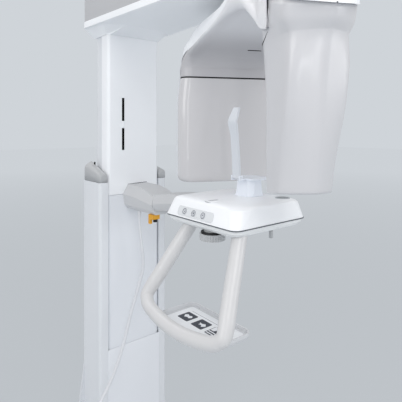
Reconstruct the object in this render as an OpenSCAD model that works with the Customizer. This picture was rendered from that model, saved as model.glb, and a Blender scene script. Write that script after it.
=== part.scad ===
// Dental cone beam scanner: a floor-standing lift column carries an overhead arm,
// a C-shaped scanning gantry that turns round the patient's head, and a patient table.
// Frame: +Z up, floor at z = 0, origin at the centre of the floor anchor pattern.
// The arm reaches towards -Y, the patient stands on the +X side and faces -X.

/* [Base plate] */
// Thickness of the floor plate
base_t = 12; // [8:1:20]
// Width of the floor plate behind the column
base_back_w = 520; // [470:10:600]
// Width of the floor plate in front
base_front_w = 800; // [600:10:1000]
// Distance of the plate's rear edge behind the origin
base_back = 130; // [100:5:200]
// Distance of the plate's front edge in front of the origin
base_front = 1000; // [800:10:1200]
// Spacing of the floor anchors from side to side
anchor_dx = 430; // [400:5:450]
// Spacing of the floor anchors from front to back
anchor_dy = 150; // [100:5:180]
// Radius of the floor anchor holes
anchor_r = 7; // [5:0.5:9]

/* [Fixed stand] */
// Outer width of the fixed stand
stand_w = 344; // [330:2:380]
// Depth of the fixed stand
stand_d = 164; // [150:2:200]
// Top of the fixed stand above the floor
stand_top = 1267; // [1230:1:1290]
// Wall of the stand's profile
stand_wall = 6; // [4:0.5:8]
// Height of the grey end caps at their highest corner
cap_h = 90; // [80:1:110]
// Top edge of the lower front cover above the floor
lower_cover_top = 536; // [480:1:600]
// Thickness of the lower front cover
cover_t = 4.8; // [3:0.1:5]

/* [Moving column] */
// Width of the moving column
column_w = 260; // [250:1:270]
// Depth of the moving column
column_d = 122; // [118:1:126]
// Bottom end of the column above the floor
column_bottom = 450; // [440:1:500]
// Height of the seam between the two front covers
column_seam_z = 1209; // [1190:1:1230]
// Running gap between the column and the stand
column_gap = 1.5; // [1:0.1:3]
// Wall of the column's core
core_wall = 5; // [4:0.5:8]
// Thickness of the front covers
skin_t = 4; // [2:0.5:5]

/* [Lift] */
// Width of the fixed guide mast
mast_w = 140; // [130:1:150]
// Depth of the fixed guide mast
mast_d = 65; // [60:1:70]
// Top of the guide mast above the floor
mast_top = 1200; // [1195:1:1210]
// Width and depth of a linear guide rail
rail_size = 12; // [10:1:14]
// Outer radius of the telescopic drive tube
drive_r = 20; // [18:0.5:22]
// Radius of the push tube inside it
push_r = 16; // [12:0.5:17]
// Height of the crossbar that the push tube lifts
crossbar_z = 1634; // [1625:1:1700]

/* [Overhead arm] */
// Height of the arm's underside
arm_z = 1950; // [1945:1:1960]
// Half the arm's width at the column
arm_rear_half = 192; // [180:1:210]
// Half the arm's width at its front end
arm_front_half = 125; // [122:1:140]
// Height of the arm's white lower band
arm_band_h = 27; // [22:1:40]
// Height of the grey side cover
arm_side_h = 112; // [100:1:130]
// Height of the white top cover
arm_cap_h = 34; // [25:1:45]
// Distance from the column's axis to the turning axis
reach = 850; // [845:1:860]
// Wall of the arm's covers
arm_wall = 3; // [2:0.5:4]

/* [Gantry] */
// Direction of the detector limb at rest, counterclockwise from +X
gantry_angle = 63.4; // [60:0.1:70]
// Distance from the turning axis to the detector panel
panel_a = 250; // [245:1:260]
// Width of the detector panel
panel_w = 396; // [380:2:410]
// Bottom of the detector limb
detector_bottom = 1305; // [1302:1:1320]
// Top of the detector panel
panel_top = 1689; // [1670:1:1700]
// Depth of the detector limb
detector_d = 110; // [90:1:130]
// Distance from the turning axis to the tube limb's inner face
tube_a = 258; // [250:1:270]
// Depth of the tube limb at its bottom
tube_d = 132; // [120:1:145]
// Width of the tube limb
tube_w = 146; // [136:1:156]
// Bottom of the tube limb
tube_bottom = 1347; // [1330:1:1360]
// Underside of the beam between the limbs
beam_under = 1800; // [1790:1:1820]
// Top of the beam between the limbs
beam_top = 1902; // [1895:1:1906]

/* [Patient table] */
// Left and right edges of the table
table_x0 = -228; // [-240:1:-220]
table_x1 = 64; // [56:1:70]
// Distance of the table's near edge beyond the turning axis
table_front = 148; // [140:1:160]
// Distance of the table's rear edge behind the turning axis
table_rear = 168; // [160:1:175]
// Height of the seam between the table's shells
table_seam_z = 1240; // [1236:1:1244]
// Height of the table's top face
table_top_z = 1295; // [1290:1:1300]
// Lowest face of the table's underside
table_low_z = 1215; // [1212:1:1217]
// Wall of the table's shells
table_wall = 3; // [2:0.5:4]
// Diameter of the push buttons
button_d = 18; // [14:0.5:20]
// Travel of the push buttons
button_travel = 1.2; // [0.8:0.1:2]
// Width of the chin plate
chin_plate_w = 98; // [90:1:120]
// Height of the forehead support's pivot
forehead_z = 1354; // [1352:1:1360]

/* [Hand grip] */
// Diameter of the grip tube
grip_d = 42; // [38:1:50]
// Half the distance between the legs at the table
grip_top_half = 100; // [90:1:108]
// Half the distance between the lower corners
grip_low_half = 175; // [165:1:190]
// Height of the grip's lower corners
grip_low_z = 994; // [985:1:1020]
// Height of the middle of the grip's bar
grip_mid_z = 967; // [950:1:975]
// Distance that the grip reaches out past its legs' tops
grip_out = 130; // [110:1:150]

/* [Exposure cord] */
// Diameter of the cord
cord_d = 9; // [7:0.5:10]
// Radius of the coil at the middle of its turns
coil_r = 54; // [48:1:60]
// Thickness of the coil
coil_t = 27; // [24:1:32]

/* [Hidden] */
$fn = 48;

// Clearances between pieces that move past each other, and of a shaft in its bearing
gap = 0.3;
bearing_gap = 0.05;

// Fixed stand: front face, rear face and the channel in which the column runs
front_y = -100;
stand_front = front_y - 4;
stand_back = stand_front + stand_d;
channel_half = column_w / 2 + column_gap;
stand_corner = 14;
web_front = stand_back - stand_wall;
gusset_h = 424;
gusset_out = 58;

// Moving column
column_half = column_w / 2;
column_back = front_y + column_d;
core_half = column_half - skin_t;
core_front = front_y + skin_t;
column_corner = 15;
cover_return = 62;
frame_z = arm_z + 36;
slot_w = 13;
slot_x = -56;
slots = [[1406, 1504], [1536, 1639]];

// Lift
mast_y0 = -60;
mast_z0 = base_t + 10;
mast_wall = 5;
drive_y = mast_y0 + mast_d / 2;
rail_y = -27;
block_h = 100;
block_z = [480, 790];
crossbar_t = 16;
push_bottom = 640;

// Overhead arm and its carriage
rear_y = 32;
rear_corner = 30;
arm_side_z = arm_z + arm_band_h;
arm_cap_z = arm_side_z + arm_side_h;
arm_floor = 4;
front_cy = -reach - 30;
beam_x0 = 75;
beam_x1 = 90;
beam_h = 60;
beam_end = -reach - 100;
arm_rail_w = 10;
arm_rail_z = frame_z - 10;
arm_rail_y0 = beam_end;
arm_rail_y1 = -reach + 150;
carriage_travel = 45;
carriage_z = arm_z + 6;
carriage_t = 10;
carriage_y0 = -reach - 55;
carriage_y1 = -reach + 135;
carriage_half = 86;
motor_y = -reach + 110;
motor_r = 26;
motor_z = carriage_z + 34;

// Turning axis: hub, bearing and toothed rim
hub_r = 50;
ring_r = 68;
rim_r = 55;
pinion_r = 12;
shaft_r = 4;
rim_z = carriage_z + carriage_t + 2;
rim_h = 14;
belt_t = 1.7;
disc_z = beam_top + 6;
disc_t = 18;
disc_r = 85;
boss_r = 55;

// Gantry: half width of the beam's lower edge, height of that edge, at stations along it
tube_out = -(tube_a + tube_d);
tube_lean = 0.17;
tube_slant = 0.1;
throat_z = 1540;
throat_h = 172;
throat_out = 23;
tube_top = 1788;
tube_half = tube_w / 2;
tube_end = tube_out - tube_lean * (tube_top - tube_bottom);
skirt_z = 1714;
detector_out = panel_a + detector_d;
shell_t = 4;
lip_z = panel_top + 4;
near_z = tube_top + gap;
shoulder_z = 1714;
shoulder = 20;
// Stations along the beam: place, half width below, half width on top, height of the lower edge
beam_stations = [
    [tube_end - shoulder - 4, 16, 6, near_z], [tube_end - shoulder + 8, 44, 28, near_z],
    [tube_end + 16, tube_half + 2, 50, near_z], [tube_end + 52, tube_half + shoulder + 1, 66, near_z],
    [-tube_a - 42, tube_half + 13, 84, near_z], [-tube_a - 40, tube_half + 13, 84, skirt_z],
    [-tube_a + 1, tube_half + 13, 86, skirt_z],
    [-tube_a + 8, 88, 88, skirt_z + 28], [-tube_a + 20, 97, 91, beam_under - 25], [-tube_a + 38, 108, 96, beam_under + 6],
    [-tube_a + 60, 120, 101, beam_under + 27], [-150, 127, 106, beam_under + 30], [-60, 129, 110, beam_under + 30],
    [40, 136, 112, beam_under + 20], [110, 147, 114, beam_under + 8], [170, 158, 117, beam_under - 8],
    [220, 170, 120, beam_under - 26], [panel_a, 180, 122, beam_under - 42], [panel_a + 6, 183, 122, lip_z],
    [panel_a + 52, 181, 116, lip_z], [detector_out - 22, 160, 92, lip_z],
    [detector_out - 6, 120, 62, lip_z + 20], [detector_out, 90, 40, lip_z + 40]
];
// Place, height and half width of the beam where the soffit starts beside the tube limb
soffit_start = [-tube_a + 40, beam_under + 10, 109];
panel_t = 46;
panel_r = 36;

// Patient table: the sloped button face leans by slope_x over slope_h
table_y0 = -reach - table_front;
table_y1 = -reach + table_rear;
slope_x = 16;
slope_h = 46;
face_tilt = atan(slope_x / slope_h);
panel_len = 160;
panel_h = 28;
overlay_t = 1.2;
button_pitch = 42;
button_mid = [table_x0 + slope_x * 18 / slope_h, -reach + 29, table_seam_z + 18];
button_len = 12;
frame_plate_z = table_low_z + 11;
frame_plate_t = 8;
socket_pos = [13, -reach - 100];
socket_r = 18;
socket_rim = 22;
socket_depth = 34;
cap_pos = [-182, -reach - 6];
knob_r = 37;
knob_h = 19;
knob_z = table_low_z - 11 - knob_h;
knob_shaft_r = 8;
clamp_pos = [-23, -reach - 86];
chin_x0 = -58;
chin_x1 = 6;
chin_half = 38;
chin_top = table_top_z + 50;
chin_plate_t = 5;
spigot_r = 12;
blade_w = 30;
blade_head = 34;
pivot_x = -80;
pivot_r = 3;
ear_t = 3;

// Hand grip: its legs meet the table at grip_top
grip_y = -reach - 12;
grip_bow = 2.05;
grip_top = [-175, grip_top_half, frame_plate_z];
grip_corner = [grip_top[0] - grip_out, grip_low_half, grip_low_z];
grip_mid = [grip_corner[0] - 15, 0, grip_mid_z];
tray_z = grip_mid_z - 12;
tray_x0 = grip_mid[0] + grip_d / 2 + 6;
tray_x1 = -155;
tray_near = 138;
tray_far = 119;
tray_rim = 8;

// Support arm and emergency stop
bracket_y1 = -0.38 * reach;
bracket_low = table_low_z - 69;
arm_tip_y = table_y1 + 2;
arm_mid_y = bracket_y1 + (arm_tip_y - bracket_y1) * 0.384;
arm_top = table_seam_z + 10;
arm_low = table_low_z - 27;
tongue_y = table_y1 - 118;
stop_pos = [-22, bracket_y1 + 23];
stop_w = 34;
stop_z = bracket_low + 1;
stop_r = 9;
stop_travel = 4;
gland_pos = [-30, -197];
gland_r = 9;
gland_h = 13;

// Exposure cord: the points that its free stretch follows, and where its coil lies
cord_points = [
    [gland_pos[0], gland_pos[1], bracket_low - gland_h + 1], [gland_pos[0], gland_pos[1], 1116], [-29, -197, 1096],
    [-26, -198, 1050], [-20, -199, 990], [-14, -200, 940],
    [-16, -201, 890], [-32, -203, 840], [-52, -206, 790], [-72, -209, 740], [-90, -212, 690],
    [-107, -216, 640], [-127, -221, 590], [-154, -228, 535], [-192, -237, 478], [-232, -248, 436],
    [-270, -260, 388], [-302, -268, 330], [-325, -272, 265], [-340, -270, 200], [-349, -264, 135],
    [-353, -254, 75], [-355, -240, 32], [-357, -215, 10], [-360, -180, 5], [-365, -150, 5]
];
coil_pos = [-430, -130];
switch_x0 = coil_pos[0] - 12;
switch_len = 84;
switch_r = 13;
switch_y = coil_pos[1] + coil_r + coil_t / 2 + 12;
boot_len = 24;
switch_travel = 2.5;
switch_seat = 9;

// Points of an arc about a centre, from one angle to another
function arc(cx, cy, r, a0, a1, n = 6) =
    [for (i = [0:n]) [cx + r * cos(a0 + (a1 - a0) * i / n), cy + r * sin(a0 + (a1 - a0) * i / n)]];

// Counterclockwise outline of a rectangle with its own radius at each corner
function rounded(x0, y0, x1, y1, r, n = 6) = concat(
    arc(x1 - r[1], y0 + r[1], r[1], -90, 0, n), arc(x1 - r[2], y1 - r[2], r[2], 0, 90, n),
    arc(x0 + r[3], y1 - r[3], r[3], 90, 180, n), arc(x0 + r[0], y0 + r[0], r[0], 180, 270, n));

function lift_to(points, z) = [for (p = points) [p[0], p[1], z]];

// A closed solid through sections with the same number of points, each counterclockwise
// when seen from the last one
module loft(sections) {
    n = len(sections[0]);
    m = len(sections);
    points = [for (s = sections) for (p = s) p];
    sides = [for (i = [0:m - 2]) for (j = [0:n - 1])
        let (a = i * n + j, b = i * n + (j + 1) % n, c = a + n, d = b + n) each [[a, c, d], [a, d, b]]];
    first = [for (j = [0:n - 1]) j];
    last = [for (j = [n - 1:-1:0]) (m - 1) * n + j];
    polyhedron(points = points, faces = concat(sides, [first], [last]), convexity = 8);
}

function unit(v) = v / norm(v);

// A smooth curve through points, n steps to each stretch
function through(p, n) = concat([for (i = [0:len(p) - 2]) for (k = [0:n - 1])
    let (t = k / n, a = p[max(i - 1, 0)], b = p[i], c = p[i + 1], d = p[min(i + 2, len(p) - 1)])
    0.5 * (2 * b + (c - a) * t + (2 * a - 5 * b + 4 * c - d) * t * t + (3 * b - a - 3 * c + d) * t * t * t)],
    [p[len(p) - 1]]);

// A tube of radius r along a path; side is any direction that the path never runs along
module sweep(path, r, sides, side) {
    m = len(path) - 1;
    loft([for (i = [0:m])
        let (t = unit(path[min(i + 1, m)] - path[max(i - 1, 0)]), u = unit(cross(side, t)), v = cross(t, u))
        [for (j = [0:sides - 1]) path[i] + r * cos(360 * j / sides) * u + r * sin(360 * j / sides) * v]]);
}

module box(x0, x1, y0, y1, z0, z1) {
    translate([x0, y0, z0]) cube([x1 - x0, y1 - y0, z1 - z0]);
}

module rod(x, y, z0, z1, r) {
    translate([x, y, z0]) cylinder(r = r, h = z1 - z0);
}

module prism(outline, z0, z1) {
    translate([0, 0, z0]) linear_extrude(z1 - z0) polygon(outline);
}

module both_sides() {
    children();
    mirror([1, 0, 0]) children();
}

// Floor plate and fixed stand

module base_plate() {
    outline = [[base_back_w / 2, base_back], [-base_back_w / 2, base_back],
        [-base_front_w / 2, -base_front + 60], [-base_front_w / 2 + 60, -base_front],
        [base_front_w / 2 - 60, -base_front], [base_front_w / 2, -base_front + 60]];
    color("gainsboro") difference() {
        prism(outline, 0, base_t);
        for (sx = [-1, 1]) for (sy = [-1, 1])
            rod(sx * anchor_dx / 2, sy * anchor_dy / 2, -1, base_t + 1, anchor_r);
    }
}

module fixed_stand() {
    outline = rounded(-stand_w / 2, stand_front, stand_w / 2, stand_back,
        [stand_corner, stand_corner, 4, 4]);
    post_in = channel_half + stand_wall;
    color("whitesmoke") {
        difference() {
            prism(outline, base_t, stand_top);
            box(-channel_half, channel_half, stand_front - 1, web_front, base_t - 1, stand_top + 1);
            both_sides() box(post_in, stand_w / 2 - stand_wall, stand_front + stand_wall, web_front,
                base_t - 1, stand_top + 1);
        }
        both_sides() translate([stand_w / 2, stand_back - 2, base_t]) rotate([90, 0, 0])
            linear_extrude(8) polygon([[-1, 0], [gusset_out, 0], [gusset_out - 6, 40], [0, gusset_h], [-1, gusset_h]]);
    }
}

// Each cap falls towards the front and the outer side
module post_caps() {
    inner = channel_half + 0.5;
    outer = stand_w / 2;
    tops = [[inner + 9, stand_back - 9, cap_h - 9], [outer - 9, stand_back - 9, cap_h - 42],
        [inner + 9, -20, cap_h - 12], [outer - 9, -20, cap_h - 44],
        [inner + 9, stand_front + 30, cap_h - 48], [outer - 12, stand_front + 30, cap_h - 62]];
    color("darkgray") both_sides() difference() {
        hull() {
            prism(rounded(inner, stand_front, outer, stand_back, [3, stand_corner, 4, 3]),
                stand_top, stand_top + 12);
            for (t = tops) translate([t[0], t[1], stand_top + t[2]]) sphere(r = 9, $fn = 20);
        }
        rod((inner + outer) / 2, -12, stand_top + 40, stand_top + cap_h, 6);
        box(inner + 5, outer - 5, stand_front + 8, stand_back - 8, stand_top - 1, stand_top + 26);
    }
}

module lower_front_cover() {
    back = front_y - 1.2;
    color("whitesmoke") loft([for (s = [[base_t, 0], [lower_cover_top - 6, 0], [lower_cover_top, 3]])
        lift_to([[-channel_half, back - cover_t + s[1]], [channel_half, back - cover_t + s[1]],
            [channel_half, back], [-channel_half, back]], s[0])]);
}

// Lift drive and guides

module guide_mast() {
    color("silver") difference() {
        union() {
            box(-mast_w / 2, mast_w / 2, mast_y0, mast_y0 + mast_d, mast_z0, mast_top);
            box(-mast_w / 2 - 30, mast_w / 2 + 30, mast_y0 - 25, mast_y0 + mast_d + 25, base_t, mast_z0);
        }
        box(-mast_w / 2 + mast_wall, mast_w / 2 - mast_wall, mast_y0 + mast_wall,
            mast_y0 + mast_d - mast_wall, mast_z0, mast_top + 1);
    }
}

module guide_rails() {
    color("dimgray") both_sides()
        box(mast_w / 2, mast_w / 2 + rail_size, rail_y - rail_size, rail_y + rail_size, 40, mast_top - 10);
}

module lift_motor() {
    color("dimgray") {
        box(-drive_r - 2, mast_w / 2 - mast_wall - 1, drive_y - drive_r, drive_y + drive_r, mast_z0, mast_z0 + 40);
        rod(mast_w / 2 - mast_wall - 20, drive_y, mast_z0 + 40, mast_z0 + 180, 18);
    }
}

module lift_drive_tube() {
    color("silver") difference() {
        rod(0, drive_y, mast_z0 + 40, mast_top - 140, drive_r);
        rod(0, drive_y, mast_z0 + 50, mast_top - 139, push_r + gap);
    }
}

module guide_blocks() {
    color("slategray") for (z = block_z) both_sides() difference() {
        box(mast_w / 2 + gap, core_half - core_wall, rail_y - 28, rail_y + 28, z, z + block_h);
        box(mast_w / 2, mast_w / 2 + rail_size + gap, rail_y - rail_size - gap, rail_y + rail_size + gap,
            z - 1, z + block_h + 1);
    }
}

module lift_push_tube() {
    color("silver") {
        difference() {
            rod(0, drive_y, push_bottom, crossbar_z, push_r);
            rod(0, drive_y, push_bottom - 1, crossbar_z - 10, push_r - 3);
        }
        prism(core_outline(core_wall), crossbar_z, crossbar_z + crossbar_t);
    }
}

// Moving column

function core_outline(inset) = rounded(-core_half + inset, core_front + inset,
    core_half - inset, column_back - inset, [for (i = [0:3]) column_corner - skin_t - inset]);

function skin_outline(grow) = rounded(-column_half - grow, front_y - grow, column_half + grow,
    front_y + cover_return + grow, [column_corner, column_corner, 0.5, 0.5]);

module column_core() {
    color("gainsboro") difference() {
        prism(core_outline(0), column_bottom, frame_z);
        prism(core_outline(core_wall), column_bottom - 1, frame_z + 1);
    }
}

module front_cover(z0, z1) {
    difference() {
        prism(skin_outline(0), z0, z1);
        prism(core_outline(0), z0 - 1, z1 + 1);
    }
}

module upper_front_cover() {
    color("whitesmoke") difference() {
        front_cover(column_seam_z + 1, arm_z - 1);
        for (s = slots) box(slot_x - slot_w / 2, slot_x + slot_w / 2, front_y - 1, core_front, s[0], s[1]);
    }
}

module lower_column_cover() {
    color("whitesmoke") front_cover(column_bottom + 2, column_seam_z - 1);
}

module slot_insert() {
    color("black") for (s = slots)
        box(slot_x - slot_w / 2, slot_x + slot_w / 2, core_front - 1.5, core_front, s[0], s[1]);
}

// A faceted flare between the column and the underside of the arm
module neck_collar() {
    low = arm_z - 36;
    foot = [[-column_half - 4, column_back + 4], [-column_half - 4, front_y + 14], [-column_half + 10, front_y - 4],
        [column_half - 10, front_y - 4], [column_half + 4, front_y + 14], [column_half + 4, column_back + 4]];
    head = [[-arm_rear_half + 14, column_back + 6], [-arm_rear_half + 28, front_y - 31], [-76, front_y - 72],
        [76, front_y - 72], [arm_rear_half - 28, front_y - 31], [arm_rear_half - 14, column_back + 6]];
    color("gainsboro") difference() {
        loft([lift_to(foot, low), lift_to(head, arm_z)]);
        prism(skin_outline(0.5), low - 1, arm_z + 1);
        prism(core_outline(-0.5), low - 1, arm_z + 1);
    }
}

// Overhead arm

module arm_outline(inset) {
    hull() {
        for (s = [-1, 1]) translate([s * (arm_rear_half - rear_corner), rear_y - rear_corner])
            circle(r = rear_corner - inset);
        translate([0, front_cy]) circle(r = arm_front_half - inset, $fn = 72);
    }
}

module arm_slab(inset, z0, z1) {
    translate([0, 0, z0]) linear_extrude(z1 - z0) arm_outline(inset);
}

module arm_lower_shell() {
    color("whitesmoke") difference() {
        arm_slab(0, arm_z, arm_side_z);
        arm_slab(arm_wall, arm_z + arm_floor, arm_side_z + 1);
        prism(skin_outline(0.5), arm_z - 1, arm_z + arm_floor + 1);
        prism(core_outline(-0.5), arm_z - 1, arm_z + arm_floor + 1);
        for (y = [-carriage_travel, 0, carriage_travel])
            rod(0, -reach + y, arm_z - 1, arm_z + arm_floor + 1, ring_r + 8);
        box(-ring_r - 8, ring_r + 8, -reach - carriage_travel, -reach + carriage_travel,
            arm_z - 1, arm_z + arm_floor + 1);
    }
}

module arm_side_cover() {
    color("silver") difference() {
        arm_slab(arm_wall - 1, arm_side_z, arm_cap_z);
        arm_slab(2 * arm_wall, arm_side_z - 1, arm_cap_z + 1);
    }
}

module arm_top_cover() {
    color("whitesmoke") difference() {
        hull() {
            arm_slab(0, arm_cap_z, arm_cap_z + arm_cap_h - 16);
            arm_slab(16, arm_cap_z, arm_cap_z + arm_cap_h);
        }
        hull() {
            arm_slab(arm_wall, arm_cap_z - 1, arm_cap_z + arm_cap_h - 17);
            arm_slab(16 + arm_wall, arm_cap_z - 1, arm_cap_z + arm_cap_h - arm_wall);
        }
    }
}

module arm_frame() {
    color("lightgray") {
        box(-core_half, core_half, core_front, column_back, frame_z, frame_z + 8);
        both_sides() box(beam_x0, beam_x1, beam_end, column_back, frame_z, frame_z + beam_h);
        box(-beam_x0, beam_x0, beam_end, beam_end + 10, frame_z, frame_z + beam_h);
        for (y = [-0.38, -0.7] * reach) box(-beam_x1, beam_x1, y, y + 20, arm_z + arm_floor, frame_z);
    }
}

module arm_rails() {
    mid = (beam_x0 + beam_x1) / 2;
    color("dimgray") both_sides()
        box(mid - arm_rail_w / 2, mid + arm_rail_w / 2, arm_rail_y0, arm_rail_y1, arm_rail_z, frame_z);
}

module control_unit() {
    color("seagreen") box(-60, 60, core_front + 10, column_back - 20, frame_z + 8, frame_z + 48);
}

// Carriage that shifts the turning axis along the arm

module carriage_plate() {
    mid = (beam_x0 + beam_x1) / 2;
    top = carriage_z + carriage_t;
    side = arm_rail_w / 2 + gap;
    color("lightgray") difference() {
        union() {
            box(-carriage_half, carriage_half, carriage_y0, carriage_y1, carriage_z, top);
            for (y = [carriage_y0 + 5, -reach + 50]) both_sides()
                box(mid - 12, mid + 12, y, y + 30, carriage_z, frame_z - 2);
            both_sides() box(32, 36, motor_y - 25, motor_y + 25, carriage_z, motor_z);
            box(-36, 36, motor_y - 25, motor_y + 25, motor_z - 6, motor_z);
        }
        rod(0, -reach, carriage_z - 1, top + 1, hub_r - 10);
        rod(0, motor_y, motor_z - 7, motor_z + 1, 2 * shaft_r);
        both_sides() box(mid - side, mid + side, carriage_y0 - 1, carriage_y1 + 1, arm_rail_z - gap, frame_z);
    }
}

module bearing_ring() {
    color("dimgray") difference() {
        rod(0, -reach, carriage_z - 26, carriage_z, ring_r);
        rod(0, -reach, carriage_z - 27, carriage_z + 1, hub_r + bearing_gap);
    }
}

module turn_motor() {
    color("dimgray") difference() {
        rod(0, motor_y, motor_z, motor_z + 55, motor_r);
        rod(0, motor_y, motor_z - 1, motor_z + 12, shaft_r + bearing_gap);
    }
}

// Outline of the belt round both pulleys, grown by g
module belt_outline(g) {
    hull() {
        translate([0, -reach]) circle(r = rim_r + g, $fn = 96);
        translate([0, motor_y]) circle(r = pinion_r + g);
    }
}

module drive_belt() {
    color("black") translate([0, 0, rim_z + 1]) linear_extrude(rim_h - 2) difference() {
        belt_outline(gap + belt_t);
        belt_outline(gap);
    }
}

module drive_pulley() {
    color("silver") {
        rod(0, motor_y, rim_z, rim_z + rim_h, pinion_r);
        rod(0, motor_y, rim_z, motor_z + 10, shaft_r);
    }
}

// Gantry, drawn with the turning axis as its own origin and +X towards the detector

module on_gantry() {
    translate([0, -reach, 0]) rotate([0, 0, gantry_angle]) children();
}

module turntable() {
    color("silver") translate([0, -reach, 0]) {
        rod(0, 0, beam_top - 6, disc_z, boss_r);
        rod(0, 0, disc_z, disc_z + disc_t, disc_r);
        rod(0, 0, disc_z + disc_t, carriage_z - 2, hub_r);
        rod(0, 0, carriage_z - 2, rim_z, hub_r - 15);
        rod(0, 0, rim_z, rim_z + rim_h, rim_r);
    }
}

module gantry_frame() {
    color("lightgray") on_gantry() {
        low = beam_under + 60;
        lug = tube_half - shell_t;
        lug_z = tube_bottom + 293;
        difference() {
            box(tube_out + 20, detector_out - 30, -50, 50, low, beam_top - 6);
            box(tube_out + 26, detector_out - 36, -44, 44, low + 6, beam_top - 12);
        }
        box(detector_out - 42, detector_out - 30, -60, 60, detector_bottom + 40, low);
        box(-tube_a - 82, -tube_a - 70, -40, 40, lug_z - 80, low);
        box(-tube_a - 82, -tube_a - 70, -lug, lug, lug_z, lug_z + 16);
        box(panel_a + shell_t, detector_out - 42, -60, 60, detector_bottom + 40, detector_bottom + 52);
        box(detector_out - 30, detector_out - shell_t, -30, 30, detector_bottom + 145, detector_bottom + 165);
        for (x = [-200, 160]) box(x, x + 20, -40, 40, beam_top - 6, beam_top - shell_t);
    }
}

// Section across the beam at one station: sloped sides, rounded top, grown inwards by inset
function beam_section(s, inset, low) =
    let (w = s[1] - inset, t = s[2] - inset, top = beam_top - inset, e = min(16, s[2] * 0.6))
    [[s[0], w, low], [s[0], w - (w - t) * 0.45, low + (top - low) * 0.55], [s[0], t + 2, top - e],
        [s[0], t - 4, top - e * 0.35], [s[0], t - e, top], [s[0], -t + e, top], [s[0], -t + 4, top - e * 0.35],
        [s[0], -t - 2, top - e], [s[0], -w + (w - t) * 0.45, low + (top - low) * 0.55], [s[0], -w, low]];

module beam_cover() {
    last = len(beam_stations) - 1;
    color("whitesmoke") on_gantry() difference() {
        loft([for (s = beam_stations) beam_section(s, 0, s[3])]);
        loft([for (i = [1:last - 1]) let (s = beam_stations[i])
            beam_section([s[0] + (i == 1 ? 4 : i == last - 1 ? -2 : 0), s[1], s[2], s[3]], shell_t, s[3] - 1)]);
        rod(0, 0, beam_top - 10, beam_top + 1, boss_r + 3);
    }
}

// Grey soffit between the limbs, arched across and curving down to the lip above the detector panel
module beam_underside() {
    edge = shell_t + gap + 0.5;
    narrow = 3.4;
    slope = 60;
    half = beam_stations[len(beam_stations) - 6][1] - edge;
    strip = [for (s = beam_stations) if (s[0] > soffit_start[0] && s[0] < panel_a) s];
    path = concat([[soffit_start[0], soffit_start[2] - edge - 1, soffit_start[1], 1]],
        [for (s = strip) [s[0], s[1] - edge, s[3] + 1, s[0] < -160 ? 10 : s[0] > 200 ? 14 : 20]],
        [[panel_a - 14, half - 6, beam_under - 44, 8], [panel_a - 4, half - 3, beam_under - 68, 3],
            [panel_a, half - 2, lip_z, 1]]);
    m = len(path) - 1;
    color("darkgray") on_gantry() loft([for (i = [0:m])
        let (p = path[i], q = path[min(i + 1, m)], o = path[max(i - 1, 0)],
            t = unit([q[0] - o[0], q[2] - o[2]]), n = [-t[1], t[0]] * shell_t,
            x = p[0] + n[0], z = p[2] + n[1], w = p[1] - slope)
        [[p[0], p[1], p[2]], [x, p[1] - narrow, z], [x, w - 2, z + p[3]], [x, 2 - w, z + p[3]],
            [x, narrow - p[1], z], [p[0], -p[1], p[2]], [p[0], -w, p[2] + p[3]], [p[0], w, p[2] + p[3]]]]);
}

// Distance by which the tube limb's inner face leans in towards the soffit
function throat(z) = throat_out * pow(max(0, (z - throat_z) / throat_h), 1.5);

// Plan section of the tube limb: a flat inner face and a rounded prow with an edge in its middle,
// flared outwards by f
function tube_section(inset, f, z) =
    let (h = tube_half - inset, g = h + f, c = 22, x0 = -tube_a - inset + throat(z),
        x1 = tube_out + inset - tube_lean * (z - tube_bottom))
    [[x0, -h + c, z], [x0, h - c, z], [x0 - c * 0.3, h - c * 0.3, z], [x0 - c, h, z],
        [x1 + 62, g, z], [x1 + 40, g - 8, z], [x1 + 12 - f * 0.6, g * 0.45, z], [x1 - f, 0, z],
        [x1 + 12 - f * 0.6, -g * 0.45, z], [x1 + 40, -g + 8, z], [x1 + 62, -g, z],
        [x0 - c, -h, z], [x0 - c * 0.3, -h + c * 0.3, z]];

// The tube limb's foot falls towards the patient
function slanted(section) = [for (p = section)
    [p[0], p[1], p[2] - tube_slant * (p[0] + tube_a + tube_d / 2)]];

module tube_cover() {
    flare = [[throat_z, 0, 0], [throat_z + 60, 0, 0], [throat_z + 120, 0, 0], [shoulder_z, 0, 0],
        [shoulder_z + 14, 0, shoulder * 0.55], [shoulder_z + 31, 0, shoulder * 0.85]];
    outer_foot = [[tube_bottom, 5], [tube_bottom + 2, 1.5], [tube_bottom + 7, 0]];
    inner_foot = [[tube_bottom + shell_t, 2], [tube_bottom + 12, 0]];
    window = [tube_bottom + 93, tube_bottom + 213];
    color("lightgray") on_gantry() {
        difference() {
            loft(concat([for (s = outer_foot) slanted(tube_section(s[1], 0, s[0]))],
                [for (s = concat(flare, [[tube_top, 0, shoulder]])) tube_section(s[1], s[2], s[0])]));
            loft(concat([for (s = inner_foot) slanted(tube_section(s[1] + shell_t, 0, s[0]))],
                [for (s = concat(flare, [[tube_top + 1, 0, shoulder]])) tube_section(s[1] + shell_t, s[2], s[0])]));
            box(-tube_a - 10, -tube_a + 10, -14, 14, window[0], window[1]);
        }
        loft([for (z = [tube_top - 6, soffit_start[1] - 3]) let (x = -tube_a + throat(tube_top - 6) - 1)
            [[x - 3, -50, z], [x, -50, z], [x, 50, z], [x - 3, 50, z]]]);
    }
}

module tube_head() {
    low = tube_bottom + 83;
    color("dimgray") on_gantry() {
        box(-tube_a - 70, -tube_a - 22, -40, 40, low, low + 210);
        rod(-tube_a - 46, 0, low - 26, low + 1, 18);
    }
}

module collimator() {
    color("silver") on_gantry() difference() {
        box(-tube_a - 22, -tube_a - 5, -30, 30, tube_bottom + 83, tube_bottom + 223);
        box(-tube_a - 23, -tube_a - 4, -4, 4, tube_bottom + 98, tube_bottom + 208);
    }
}

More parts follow.
